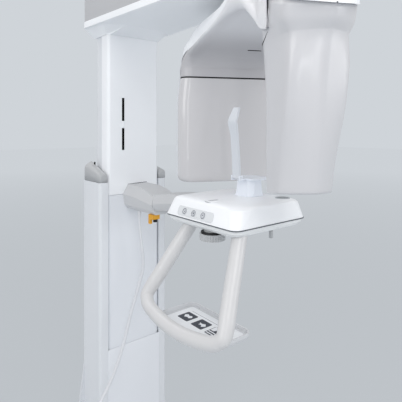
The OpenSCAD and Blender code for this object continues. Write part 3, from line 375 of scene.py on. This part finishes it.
DRESS = {
    "base_plate": (white_coat, 1.5), "fixed_stand": (white_coat, 1.2), "post_caps": (cap_grey, 1.0),
    "lower_front_cover": (lower_white, 0.8), "guide_mast": (bare_aluminium, 0.8),
    "guide_rails": (steel, 0.5), "lift_motor": (dark_steel, 1.0),
    "lift_drive_tube": (bare_aluminium, 0.5), "column_core": (white_coat, 0.6),
    "upper_front_cover": (white_cover, 0.8), "lower_column_cover": (lower_white, 0.8),
    "slot_insert": (slot_black, 0), "guide_blocks": (dark_steel, 1.0),
    "lift_push_tube": (bare_aluminium, 0.5), "neck_collar": (white_cover, 2.5),
    "arm_frame": (bare_aluminium, 0.8), "arm_lower_shell": (white_cover, 0.9),
    "arm_side_cover": (arm_grey, 0.9), "arm_top_cover": (white_cover, 0.9), "arm_rails": (steel, 0.4),
    "control_unit": (board_green, 0.6), "carriage_plate": (bare_aluminium, 0.6),
    "bearing_ring": (dark_steel, 0.8), "turn_motor": (dark_steel, 1.0), "drive_belt": (rubber_black, 0),
    "drive_pulley": (steel, 0.3), "turntable": (bare_aluminium, 0.8),
    "gantry_frame": (bare_aluminium, 0.8), "beam_cover": (white_cover, 1.2),
    "beam_underside": (soffit_grey_painted_shade, 0.8), "tube_cover": (limb_grey, 0.8),
    "tube_head": (dark_steel, 1.0), "collimator": (bare_aluminium, 0.6),
    "detector_cover": (white_cover, 0.8), "detector_panel": (panel_grey, 0.8),
    "detector_sensor": (black_plastic, 1.0), "support_bracket": (casting_grey, 1.6),
    "support_arm": (casting_grey, 1.6), "stop_housing": (stop_yellow, 1.0),
    "stop_button": (black_plastic, 1.0), "cord_gland": (cord_white, 0.8),
    "table_frame": (bare_aluminium, 0.6), "table_top": (table_white, 1.0),
    "table_underside": (under_grey, 1.0), "button_panel": (overlay_film, 0.4),
    "button_1": (key_face, 0.6), "button_2": (key_face, 0.6), "button_3": (key_face, 0.6),
    "table_sockets": (socket_grey, 0.8), "grip_frame": (grip_white, 0), "item_tray": (tray_white, 1.0),
    "tray_card": (card_white, 0.2), "adjusting_knob": (knob_grey, 0.5), "clamp_screw": (knob_grey, 0.6),
    "chin_rest": (rest_white, 1.5), "forehead_support": (blade_white, 1.5), "cable": (cord_white, 0),
    "cord_coil": (cord_white, 0), "hand_switch": (white_cover, 1.0), "switch_button": (knob_grey, 0.8),
}
WELD_DISTANCE = 0.00002
ROUNDED_ANGLE = math.radians(28)
SHARP_ANGLE = math.radians(32)


def soften(obj, width):
    """Merges the CAD faces' borders, rounds their edges and shades the rest smooth."""
    bpy.context.view_layer.objects.active = obj
    obj.select_set(True)
    if obj.data.has_custom_normals:
        bpy.ops.mesh.customdata_custom_splitnormals_clear()
    obj.select_set(False)
    obj.data.polygons.foreach_set("use_smooth", [True] * len(obj.data.polygons))
    weld = obj.modifiers.new("weld", "WELD")
    weld.merge_threshold = WELD_DISTANCE
    if width:
        bevel = obj.modifiers.new("edges", "BEVEL")
        bevel.width = width * MM
        bevel.segments = 2
        bevel.limit_method = "ANGLE"
        bevel.angle_limit = ROUNDED_ANGLE
        bevel.harden_normals = True
        bevel.use_clamp_overlap = True
    else:
        split = obj.modifiers.new("edges", "EDGE_SPLIT")
        split.split_angle = SHARP_ANGLE


for node_name, (node_material, edge_width) in DRESS.items():
    node_object = nodes[node_name]
    node_object.data.materials.clear()
    node_object.data.materials.append(node_material)
    soften(node_object, edge_width)

# Camera at the photograph's place: level, with the frame shifted down. The photograph's side, the distance to
# its picture plane and the row of the horizon are in pixels.

PHOTO_SIDE = 402
PHOTO_DEPTH = 413
HORIZON_ROW = 129
SENSOR = 36
EYE = (-0.9534, -1.750, 1.50)
EYE_TURN = math.radians(-39.2)

camera_data = bpy.data.cameras.new("camera")
camera_data.sensor_width = SENSOR
camera_data.lens = SENSOR * PHOTO_DEPTH / PHOTO_SIDE
camera_data.shift_y = -(PHOTO_SIDE / 2 - HORIZON_ROW) / PHOTO_SIDE
camera_data.clip_end = 60
camera = bpy.data.objects.new("camera", camera_data)
camera.location = EYE
camera.rotation_euler = (math.radians(90), 0, EYE_TURN)
scene.collection.objects.link(camera)
scene.camera = camera

# Exposure cord: down from the gland, off the column, and wound on the floor in layers of turns

ROUTE = [
    (-30, -197, 1133), (-29, -197, 1100), (-26, -198, 1050), (-20, -199, 990), (-14, -200, 940),
    (-16, -201, 890), (-32, -203, 840), (-52, -206, 790), (-72, -209, 740), (-90, -212, 690),
    (-107, -216, 640), (-127, -221, 590), (-154, -228, 535), (-192, -237, 478), (-232, -248, 436),
    (-270, -260, 388), (-302, -268, 330), (-325, -272, 265), (-340, -270, 200), (-349, -264, 135),
    (-353, -254, 75), (-355, -240, 32), (-357, -215, 10), (-360, -180, 5),
]
TAIL = [(-382, -84, 21), (-392, -66, 18.5), (-404, -55, 15.5), (-418, -50.5, 13.2), (-424, -50.5, 13)]
ROUTE_STEPS = 6
COIL_IN, COIL_OUT, COIL_LAST = 45, 63, 55.5
SLEEVE_WALL = 2.2
SLEEVE_TOP, SLEEVE_FULL = 1040, 980
SLEEVE_THIN, SLEEVE_END = 120, 60


def coil_point(turns, radius, z):
    """A point of the coil after a number of turns from its side towards +X, counterclockwise from above."""
    a = 2 * math.pi * turns
    return (COIL_POS.x + radius * math.cos(a), COIL_POS.y + radius * math.sin(a), z)


def coil_points():
    """Two turns inwards on the floor, two outwards on top of them and one and a half inwards again."""
    low, mid, high = CORD_D / 2 + 0.3, CORD_D * 1.5 + 0.4, CORD_D * 2.5 + 0.5
    stretches = ((32, COIL_OUT, COIL_IN, low, low), (4, COIL_IN, COIL_IN, low, mid),
                 (32, COIL_IN, COIL_OUT, mid, mid), (4, COIL_OUT, COIL_OUT, mid, high),
                 (24, COIL_OUT, COIL_LAST, high, high))
    turn, step = -0.02, 1 / 16
    result = [coil_point(turn, COIL_OUT, low)]
    for count, r0, r1, z0, z1 in stretches:
        for i in range(1, count + 1):
            t = i / count
            result.append(coil_point(turn + i * step, r0 + (r1 - r0) * t, z0 + (z1 - z0) * t))
        turn += count * step
    return result


cord_path = smooth_path(ROUTE, ROUTE_STEPS)[:-1] + smooth_path([ROUTE[-1]] + coil_points(), 3)
cord_path += smooth_path([cord_path[-1]] + TAIL, 4)[1:]


def cord_radius(index):
    """The hanging part has a loose sleeve from the second bend down to the floor."""
    if index > len(ROUTE) * ROUTE_STEPS:
        return CORD_D / 2
    z = cord_path[index].z
    wall = SLEEVE_WALL * share_of(z, SLEEVE_TOP, SLEEVE_FULL) * share_of(z, SLEEVE_END, SLEEVE_THIN)
    return CORD_D / 2 + wall


def relief_radius(index):
    """The strain relief has ribs and gets slimmer downwards."""
    return 8.2 - 0.55 * index + (0.7 if index % 2 else 0)


cord = loft("exposure_cord", tube_rings(cord_path, cord_radius, sides=12, up=(0.2, 1, 0.1)), cord_white, None)
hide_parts("cable", "cord_coil")
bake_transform(cord)

relief_path = [Vector((-30, -197, 1140 - 4.0 * i)) for i in range(8)]
loft("strain_relief", tube_rings(relief_path, relief_radius, sides=20, up=(0, 1, 0)), cord_white, "column")

# Tube limb of the gantry: a rounded prow, a flared shoulder, a face that leans into the beam, a slanted foot

TUBE_MID = -324
TUBE_CORNER = 22
TUBE_RADII = [10, 10, 14, 30, 24, 34, 11, 34, 24, 30, 14, 10, 10]
THROAT_DEPTH, THROAT_H = 23, 172
SHOULDER_H = 91
FOOT_SLANT = 0.1
TOP_SLANT = -0.33


def throat(z):
    """How far the limb's inner face leans towards the turning axis at a height."""
    return THROAT_DEPTH * max(0.0, (z - THROAT_Z) / THROAT_H) ** 1.5


def fullness(z):
    """Share of the rounder outer corners that the limb has in its upper part."""
    return eased(share_of(z, 1380, 1580) * (1 - 0.6 * share_of(z, 1640, 1700)))


def flare_at(t):
    """How far the limb's sides stand out at a share of the shoulder's height."""
    return SHOULDER * math.sin(min(1.0, t * 1.7) * math.pi / 2) ** 1.2


def tube_ring(z, inset, flare, slant, hidden=0):
    """One ring of the limb, which can be drawn in, flared at its outer side, tilted and cut at its outer end."""
    h = TUBE_HALF - inset
    g = h + flare
    c = TUBE_CORNER
    x0 = TUBE_FACE - inset + throat(z)
    x1 = TUBE_OUT + inset - TUBE_LEAN * (z - TUBE_BOTTOM) + hidden
    full = fullness(z) * (1 - flare / SHOULDER)
    half = [(x0, h - c), (x0 - c * 0.3, h - c * 0.3), (x0 - c, h), (x1 + 62 - 26 * full, g + 3 * full),
            (x1 + 40 - 18 * full, g - 8 + 3 * full), (x1 + 12 - flare * 0.25, g * 0.45)]
    mirrored = [(x, -y) for x, y in reversed(half)]
    outline = round_loop(half + [(x1 - flare * 0.45, 0)] + mirrored, TUBE_RADII)
    return [(x, y, z - slant * (x - TUBE_MID)) for x, y in outline]


tube_levels = [(TUBE_BOTTOM + 6 * (1 - math.cos(a)), 5 * (1 - math.sin(a)), 0, FOOT_SLANT)
               for a in (math.radians(18 * k) for k in range(6))]
tube_levels += [(TUBE_BOTTOM + 16 + 40 * k, 0, 0, FOOT_SLANT * max(0.0, 1 - k / 4)) for k in range(9)]
tube_levels += [(SHOULDER_Z - 6 + SHOULDER_H * t, 0, flare_at(t), TOP_SLANT * t)
                for t in (0, 0.05, 0.1, 0.17, 0.25, 0.35, 0.47, 0.6, 0.75, 0.9)]
tube_levels += [(TUBE_TOP + 16.5, 0, SHOULDER, TOP_SLANT), (TUBE_TOP + 18, 3, SHOULDER, TOP_SLANT),
                (TUBE_TOP + 20, 9, SHOULDER, TOP_SLANT, 4), (TUBE_TOP + 44, 16, 8, -0.2, 50)]
tube_limb = loft("tube_limb", [tube_ring(*level) for level in tube_levels], limb_grey, "gantry", on_gantry)
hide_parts("tube_cover")

# A thin black line along the seam between the beam's skirt and the tube limb, which is painted shade in the gap.
seam_path = smooth_path([(-316, 77.4, 1737), (-306, 76.6, 1737), (-295, 75.6, 1734), (-280, 74.4, 1727),
                         (-266, 73.7, 1719), (-256, 73.2, 1714), (-250, 72.2, 1711)], 4)
loft("limb_seam_shade", tube_rings(seam_path, 0.9, sides=8), black_plastic, "gantry", on_gantry)
plate("beam_window", rounded_box(-14, 1440, 14, 1560, 5), -1, 1.3, black_plastic, "gantry", on_tube_face)

# Beam of the gantry. Its grey underside is one arch, from a skirt beside the tube limb to the lip over the
# detector limb. Each row has the place along the beam, half width, height of the edge, edge radius, width of
# the inner slope, height of the middle and height of the outer side above the edge.

ARCH = (
    (-313, 88.5, 1737, 2, 14, 1832, 140), (-302, 88, 1738, 3, 14, 1832, 138),
    (-280, 88, 1743, 5, 16, 1832, 130), (-262, 88.5, 1750, 8, 18, 1832, 118),
    (-252, 90, 1756, 14, 26, 1832, 104), (-240, 95, 1766, 24, 38, 1833, 86),
    (-220, 106, 1785, 36, 52, 1836, 62), (-198, 118, 1808, 40, 62, 1841, 48),
    (-150, 127, 1825, 30, 62, 1847, 34), (-60, 129, 1828, 12, 60, 1848, 13),
    (40, 136, 1818, 6, 60, 1838, 7), (110, 147, 1806, 5, 60, 1826, 7),
    (170, 158, 1790, 6, 60, 1810, 8), (208, 168, 1777, 9, 58, 1793, 11),
    (230, 176, 1764, 15, 54, 1776, 18), (243, 183, 1747, 24, 48, 1754, 28),
    (249, 187, 1730, 32, 44, 1733, 38), (250, 188, 1721, 35, 40, 1722, 50),
    (250, 188, 1708, 36, 40, 1709, 50), (250, 188, LIP_Z, 36, 40, LIP_Z + 1, 50),
)
arch_rows = smooth_path(ARCH, 5)
SKIN = 3.0
BEND_START, BEND_FULL = 40, 190
LEVEL_Z = 1735
LEVEL_RUN = 60
STEEP = 1.2


def arch_section(index):
    """One ring of the underside, square to the arch where it turns down, and level in the lip."""
    a, w, z, r, slope, middle, side = arch_rows[index]
    before, after = arch_rows[max(index - 1, 0)], arch_rows[min(index + 1, len(arch_rows) - 1)]
    turn = -math.atan2(after[2] - before[2], after[0] - before[0]) * eased(share_of(a, BEND_START, BEND_FULL))
    if z < LEVEL_Z and (turn > STEEP or z < LEVEL_Z - 10):
        turn = max(turn, min(math.pi / 2, turn + (LEVEL_Z - z) / LEVEL_RUN))
    m = max(0.5, middle - z)
    foot = w - slope
    rim = slope - r
    rise = max(side, r + 1)
    half = [(0, m), (foot * 0.5, m), (foot - 16, m), (foot - 5, m * 0.97), (foot + rim * 0.13, m * 0.86),
            (foot + rim * 0.56, m * 0.47), (w - r - rim * 0.2, m * 0.1)]
    half += [(w - r + r * math.sin(t), r - r * math.cos(t)) for t in (math.radians(15 * k) for k in range(7))]
    half += [(w, rise), (w - SKIN, rise), (w - SKIN - r * 0.3, r * 0.8 + SKIN),
             (w - r - rim * 0.12 - 1, m * 0.14 + SKIN + 1), (foot + rim * 0.3, m * 0.5 + SKIN + 1),
             (foot - 8, m + SKIN), (0, m + SKIN)]
    ring = half + [(-b, d) for b, d in reversed(half[1:-1])]
    return [(a + d * math.sin(turn), b, z + d * math.cos(turn)) for b, d in ring]


soffit = loft("beam_arch", [arch_section(i) for i in range(len(arch_rows))], soffit_grey_painted_shade, "gantry", on_gantry)
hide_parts("beam_underside")

# White upper shell of the beam. Each row has the place along the beam, half width below and on top, height of
# the lower edge and how far the top is lowered. The shell is hollow between its two closed ends.

HOLLOW_START, HOLLOW_END = -310, 330
REAR_Z = LIP_Z + 0.5
SHELL_RADII = [1, 40, 12, 14, 14, 12, 40, 1, 2, 2]

shell_rows = [(-480.5, 2, 1, 1754, 0), (-479, 14, 8, 1754.6, 0), (-469, 42, 27, 1758.2, 0),
              (-444, 75, 50, 1766.2, 0), (-410, 90.5, 66, 1777.4, 0), (-350, 89, 76, 1797.1, 0),
              (-316, 87, 83, 1808.3, 0), (-306, 86.5, 83.5, 1816, 0), (-262, 86.5, 85, 1826, 0)]
shell_rows += [(a, w - 1.6, min(w - 4, 86 + (a + 262) * 0.071), z + min(side, 70) * 0.8, 0)
               for a, w, z, _, _, _, side in ARCH[6:14]]
shell_rows += [(236, 174, 121, 1782, 0), (262, 181, 122, 1770, 0), (284, 185, 121, 1750, 0),
               (291, 187, 120, REAR_Z, 0), (304, 187, 118, REAR_Z, 0), (322, 182.5, 110, REAR_Z, 0),
               (338, 170, 98, REAR_Z, 0), (346, 157, 84, REAR_Z, 5), (350, 140, 70, REAR_Z, 14),
               (351, 128, 60, REAR_Z + 1, 24)]


def shell_ring(a, w, t, low, drop):
    """One ring of the shell, with a half width of w below and t on top."""
    top = BEAM_TOP - drop
    corner = min(18, t * 0.6)
    waist = (w - (w - t) * 0.45, low + (top - low) * 0.55)
    half = [(w, low), waist, (t + 2, top - corner), (t - corner, top)]
    mirrored = [(-b, z) for b, z in reversed(half)]
    if HOLLOW_START < a < HOLLOW_END:
        under = [(-w + 5, low + 34), (w - 5, low + 34)]
    else:
        under = [(-w * 0.92, low + 3), (w * 0.92, low + 3)]
    return [(a, b, z) for b, z in round_loop(half + mirrored + under, SHELL_RADII, 4)]


shell = loft("beam_shell", [shell_ring(*row) for row in smooth_path(shell_rows, 3)], white_cover, "gantry",
             on_gantry)
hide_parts("beam_cover")

# Dark block in the gap between the beam and the detector limb's neck, which is painted shade in the gap, and a
# slot in the beam's underside drawn as a dark plate, which is painted shade inside the slot

NECK_HALF = PANEL_HALF - 13
NECK_R = 33
SLOT_TILT = 0.45

gap_shade_outline = rounded_box(PANEL_FACE + 3, -NECK_HALF, PANEL_FACE + 60, NECK_HALF, (NECK_R, 4, 4, NECK_R))
plate("limb_gap_shade", gap_shade_outline, LIP_Z - 12, LIP_Z + 3, rubber_black, "gantry", on_gantry)
on_soffit = on_gantry @ shift(216, -77, 1789) @ Matrix.Rotation(SLOT_TILT, 4, "Y")
plate("sensor_slot_shade", rounded_box(-1.2, -26, 1.2, 26, 1, 4), 0, 6, slot_black, "gantry", on_soffit)

# Detector limb: a glossy grey front with rounded sides and a white back

FOOT_R = 22
FOOT_STEPS = (0, 0.6, 1.6, 3, 5, 8, 12, 17)
WALL_STEPS = (60, 150, 240, LIMB_H - DRAW_H)
BACK_START = 6


def draw_in(h):
    """How far the sides are drawn in at a height over the limb's end: a round foot and a tapered top."""
    if h < FOOT_R:
        return FOOT_R - math.sqrt(FOOT_R ** 2 - (FOOT_R - h) ** 2)
    return share_of(h, LIMB_H - DRAW_H, LIMB_H) * DRAW_TOP


def limb_ring(h, x_in, x_out, r_in, r_out, lift=0):
    """One ring of a shell of the limb, with a foot that starts at the height lift."""
    d = draw_in(max(0.0, h - lift))
    half = PANEL_HALF - d
    x_end = x_out - d if r_out > r_in else x_out
    return at(rounded_box(x_in, -half, x_end, half, (r_in, r_out, r_out, r_in), 12), DETECTOR_BOTTOM + h)


front_levels = (*FOOT_STEPS, FOOT_R, *WALL_STEPS, LIMB_H - DRAW_H / 2, LIMB_H - 5, LIMB_H - 1.5)
front_rings = [limb_ring(h, PANEL_FACE + draw_in(h) * 0.25, PANEL_BACK, 36, 2) for h in front_levels]
front_top = rounded_box(PANEL_FACE + 5, -NECK_HALF, PANEL_BACK, NECK_HALF, (NECK_R, 2, 2, NECK_R), 12)
front_rings.append(at(front_top, DETECTOR_BOTTOM + LIMB_H))
panel = loft("detector_front", front_rings, panel_grey, "gantry", on_gantry)
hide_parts("detector_panel")

back_levels = [BACK_START + 0.2 + 0.9 * v for v in FOOT_STEPS] + [BACK_START + FOOT_R, *WALL_STEPS, LIMB_H]
back_rings = [limb_ring(h, PANEL_BACK + 0.6, DETECTOR_OUT, 2, 50, BACK_START) for h in back_levels]
back = loft("detector_back", back_rings, white_coat, "gantry", on_gantry)
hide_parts("detector_cover")

# Hand grip: straight legs, rounded corners and a bar that dips in its middle

GRIP_TOP = Vector((-175, 100, 1226))
GRIP_CORNER = Vector((-305, 175, 996))
GRIP_MID = Vector((-320, 0, 970))
GRIP_BOW = 2.05
GRIP_THINNING = 2.2
GRIP_THIN_H = 45


def bar_point(s):
    """A point of the bar, at a share of the way from its middle to its corner."""
    rise = s ** GRIP_BOW
    return Vector((GRIP_MID.x + (GRIP_CORNER.x - GRIP_MID.x) * rise, GRIP_CORNER.y * s,
                   GRIP_MID.z + (GRIP_CORNER.z - GRIP_MID.z) * rise))


leg = GRIP_CORNER - GRIP_TOP
leg_end = GRIP_TOP + leg * 0.92
bar_end = bar_point(0.8)
bend_mid = (leg_end + bar_end) / 2
grip_half = [GRIP_TOP, GRIP_TOP + leg * 0.35, GRIP_TOP + leg * 0.7, leg_end,
             bend_mid + (GRIP_CORNER - bend_mid) * 0.35, bar_end, bar_point(0.55), bar_point(0.27)]
grip_points = grip_half + [GRIP_MID] + [Vector((p.x, -p.y, p.z)) for p in reversed(grip_half)]
grip_path = [p + Vector((0, GRIP_Y, 0)) for p in smooth_path(grip_points, 8)]


def grip_radius(index):
    """The bar between the two corners is a little slimmer than the legs."""
    z = grip_path[index].z
    return GRIP_R - GRIP_THINNING * share_of(z, GRIP_CORNER.z + GRIP_THIN_H, GRIP_CORNER.z)


grip = loft("hand_grip", tube_rings(grip_path, grip_radius, sides=32, up=(1, 0, 0)), grip_white, "column")
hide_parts("grip_frame")

# Keys of the table: two rings and a simple sign on each

PRINT_T = 0.12
SIGN_T = 0.14
SIGNS = {
    "arrow_up": [(-3.6, -1.2), (0, 3.2), (3.6, -1.2)],
    "stop_square": [(-2.4, -2.4), (2.4, -2.4), (2.4, 2.4), (-2.4, 2.4)],
    "arrow_down": [(-3.6, 1.2), (0, -3.2), (3.6, 1.2)],
}
for index, (sign, corners) in enumerate(SIGNS.items()):
    key_place = on_button_face @ shift((1 - index) * BUTTON_PITCH, 0)
    body_name = "key_%d" % (index + 1)
    for ring_name, r, width in ((sign + "_ring", 8.7, 1.5), (sign + "_inner_ring", 5.6, 0.9)):
        ring_plate(ring_name, r, width, KEY_TOP, KEY_TOP + PRINT_T, key_print, body_name, key_place)
    plate(sign, round_loop(corners, 0.5, 3), KEY_TOP, KEY_TOP + SIGN_T, key_print, body_name, key_place)

# Card in the tray: three dark squares with plain shapes, each with the radius of its corners, and a line

CARD_Z = TRAY_Z - 3.2
SQUARE_X = -220
SQUARE_Y = (-790, -852.5, -913)
MOTIFS = (
    (2.0, [[(-16, 3), (-10, 11), (0, 6), (8, 11), (16, 4), (11, -6), (1, -3), (-8, -8)]]),
    (2.0, [[(-7, -7), (3, -3), (10, -11), (19, -1), (9, 9), (0, 3), (-12, 5), (-5, -1)]]),
    (0.6, [[(-21, -9), (21, -9), (21, -5), (-21, -5)], [(-21, -18), (21, -18), (21, -14), (-21, -14)],
           [(-21, 0), (-8, 0), (-1, 21), (-21, 21)], [(8, 0), (21, 0), (21, 21), (1, 21)]]),
)
for number, (y, (radius, shapes)) in enumerate(zip(SQUARE_Y, MOTIFS), 1):
    square_place = shift(SQUARE_X, y, CARD_Z)
    plate("motif_square_%d" % number, rounded_box(-22, -23, 22, 23, 4, 4), 0.05, 0.2, motif_dark, "column",
          square_place)
    shape_place = square_place @ Matrix.Rotation(math.radians(-90), 4, "Z")
    for part, motif in enumerate(shapes, 1):
        plate("motif_shape_%d_%d" % (number, part), round_loop(motif, radius, 4), 0.2, 0.35, motif_light,
              "column", shape_place)
edge_line = [(-188.5, -770), (-187, -770), (-187, -940), (-188.5, -940)]
plate("card_line", edge_line, CARD_Z + 0.05, CARD_Z + 0.2, knob_print, "column")

# Rest of the table: a dark line between its shells, which is painted shade in the gap, a dark ring over the
# knob, which is painted shade in the recess above it, wings on the clamp screw and a lid on one socket

SEAM_OUT = 0.9
SEAM_LOW, SEAM_HIGH = 1237.2, 1240.1
LID_SEAT = 1295

seam_outline = rounded_box(TABLE_LEFT - SEAM_OUT, TABLE_FRONT - SEAM_OUT, TABLE_RIGHT + SEAM_OUT,
                           TABLE_REAR + SEAM_OUT, 24, 7)
plate("table_seam_shade", seam_outline, SEAM_LOW, SEAM_HIGH, gap_shade_grey, "column")
plate("knob_shade_ring", ellipse(33, 33, 40), 1203.5, 1209, black_plastic, "knob", shift(*KNOB))
plate("clamp_wing", rounded_box(-15, -5, 15, 5, 4, 4), 1202, 1210.5, black_plastic, "clamp", shift(*CLAMP))
lid = ellipse(22.4, 22.4, 48)
lid_top = [(x * 0.97, y * 0.97) for x, y in lid]
loft("socket_lid", [at(lid, LID_SEAT), at(lid, LID_SEAT + 1.2), at(lid_top, LID_SEAT + 1.6)], table_white,
     "column", shift(*KNOB))
# The lid's slot is a darker mark, which is painted shade inside the slot.
plate("socket_lid_slot_shade", ellipse(17, 3.4, 24), LID_SEAT + 1, LID_SEAT + 1.9, knob_print, "column",
      shift(KNOB[0] + 1, KNOB[1] - 2) @ Matrix.Rotation(math.radians(-12), 4, "Z"))

# Caps on the two posts: a slanted top, higher at the rear and inside, with rounded edges. Each level has its
# share of the cap's height and the inset of its outline.

CAP_LEVELS = ((0.0, 0), (0.6, 0), (0.8, 0.4), (0.9, 1.6), (0.96, 3.6), (0.99, 6.5), (1.0, 10))
CAP_RADII = (6, 12, 12, 6)


def post_outline(inset):
    return rounded_box(POST_IN + inset, POST_FRONT + inset, POST_OUT - inset, POST_REAR - inset, CAP_RADII, 6)


def cap_height(x, y):
    """Height of the cap's top over a point of its outline."""
    inner, rear = (POST_OUT - x) / (POST_OUT - POST_IN), (y - POST_FRONT) / (POST_REAR - POST_FRONT)
    return (40 + 2 * inner) * (1 - rear) + (68 + 24 * inner) * rear - 8 * (1 - rear) ** 4 - 1.3


for side, cap_name in ((-1, "post_cap_left"), (1, "post_cap_right")):
    cap_rings = [[(side * x, y, CAP_BOTTOM + cap_height(x, y) * share_up) for x, y in post_outline(inset)]
                 for share_up, inset in CAP_LEVELS]
    cap = loft(cap_name, cap_rings, cap_grey, "stand")
    if side < 0:
        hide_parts("post_caps")
    # A dark strip under each cap's edge, which is painted shade where the cap meets the post.
    shade_strip = [(side * x, y) for x, y in post_outline(1)]
    plate(cap_name + "_joint", shade_strip, CAP_BOTTOM - 1.9, CAP_BOTTOM + 0.7, gap_shade_grey, "stand")
# A dark plate in the cap's opening, which is painted shade inside it.
plate("cap_opening_shade", ellipse(3.2, 4.5, 20), 1340, 1350.5, slot_black, "stand", shift(-142, 8))

# Column: a pale bead with round ends between the two slots, a thin dark line over the support bracket, which is
# painted shade where the bracket meets the column, and a cover over the guide mast, inside the column, for when
# the carriage is above the lower front cover

MAST_COVER_HALF = 116
MAST_COVER_LOW, MAST_COVER_HIGH = 500, 790
BEAD_HALF = 13

bead = [(x, max(-1, min(1, share * 1.6)) * BEAD_HALF) for x, share in ellipse(4.2, 1, 24)]
bead_top = [(x * 0.6, z * 0.85) for x, z in bead]
loft("slot_bead", [at(bead, -1), at(bead, 2.2), at(bead_top, 3.4)], table_white, "column",
     on_column_front(-56, 1520))
bracket_shade_line = [(-33, 0.4), (66, 4.6), (66, 6.6), (-33, 3.4)]
plate("bracket_shade_line", bracket_shade_line, -1, 0.8, gap_shade_grey, "column", on_column_front(0, 1249.5))
mast_outline = rounded_box(-MAST_COVER_HALF, -88.6, MAST_COVER_HALF, -86.4, 1, 2)
plate("mast_cover", mast_outline, MAST_COVER_LOW, MAST_COVER_HIGH, white_coat, "stand")

# World and floor. Rays from the camera see a plain pale backdrop, and the floor shows the lamps only faintly.

BACKDROP = linear(207, 212, 217)
FLOOR_NEAR = linear(186, 191, 196)
FLOOR_GLOW = 0.86

scene.view_settings.view_transform = "Standard"
world = bpy.data.worlds.new("world")
scene.world = world
world.use_nodes = True
sky_tree = world.node_tree
lamp_sky = sky_tree.nodes["Background"]
lamp_sky.inputs["Color"].default_value = linear(210, 211, 213)
seen_sky = add_node(sky_tree, "Background", {"Color": BACKDROP})
sky_mix = add_node(sky_tree, "MixShader")
wire(sky_tree, (seen_by(sky_tree, "Camera", "Transmission"), 0, sky_mix, "Fac"),
     (lamp_sky, "Background", sky_mix, 1), (seen_sky, "Background", sky_mix, 2),
     (sky_mix, "Shader", sky_tree.nodes["World Output"], "Surface"))

floor_material = make_material("floor", (226, 231, 235), 0.7, mottle=0.005, bump=0.02, specular=0.2)
floor_tree = floor_material.node_tree
floor_place = add_node(floor_tree, "TexCoord")
floor_distance = add_node(floor_tree, "VectorMath", operation="LENGTH")
floor_range = add_node(floor_tree, "MapRange", {"From Min": 1.0, "From Max": 14.0})
floor_tone = mix_colours(floor_tree, FLOOR_NEAR, BACKDROP)
floor_glow = add_node(floor_tree, "Emission")
glow_share = add_node(floor_tree, "Math", {1: FLOOR_GLOW}, "MULTIPLY")
floor_mix = add_node(floor_tree, "MixShader")
wire(floor_tree, (floor_place, "Object", floor_distance, 0), (floor_distance, "Value", floor_range, "Value"),
     (floor_range, "Result", floor_tone, "Factor"), (floor_tone, "Result", floor_glow, "Color"),
     (seen_by(floor_tree, "Camera", "Glossy"), 0, glow_share, 0), (glow_share, 0, floor_mix, "Fac"),
     (floor_tree.nodes["Principled BSDF"], "BSDF", floor_mix, 1), (floor_glow, "Emission", floor_mix, 2),
     (floor_mix, "Shader", floor_tree.nodes["Material Output"], "Surface"))
bpy.ops.mesh.primitive_plane_add(size=60, location=(0, 0, -0.0005))
floor = bpy.context.object
floor.name = "floor"
floor.data.materials.append(floor_material)

# Area lamps: place and target in metres, width and height, power in watts and colour

NEUTRAL = (1, 1, 1)
WARM = (1, 0.99, 0.98)
LAMPS = (
    ("key", (-3.0, -1.0, 2.5), (0, -0.6, 1.4), 1.8, 1.8, 23, WARM),
    ("ceiling", (-0.9, -2.7, 3.3), (0, -0.4, 1.5), 1.6, 1.6, 25, WARM),
    ("fill", (1.6, -3.4, 1.9), (0, -0.8, 1.25), 1.4, 1.4, 13, NEUTRAL),
    ("strip", (-1.7, -3.1, 1.7), (-0.1, -1.1, 1.6), 0.10, 1.2, 5, NEUTRAL),
    ("top", (-0.4, 0.9, 3.2), (0, -0.6, 1.6), 1.4, 1.4, 8, NEUTRAL),
)
for name, place, target, width, height, power, colour in LAMPS:
    lamp_data = bpy.data.lights.new(name, "AREA")
    lamp_data.shape = "RECTANGLE"
    lamp_data.size = width
    lamp_data.size_y = height
    lamp_data.energy = power
    lamp_data.color = colour
    lamp = bpy.data.objects.new(name, lamp_data)
    lamp.location = place
    lamp.rotation_euler = (Vector(target) - Vector(place)).to_track_quat("-Z", "Y").to_euler()
    scene.collection.objects.link(lamp)
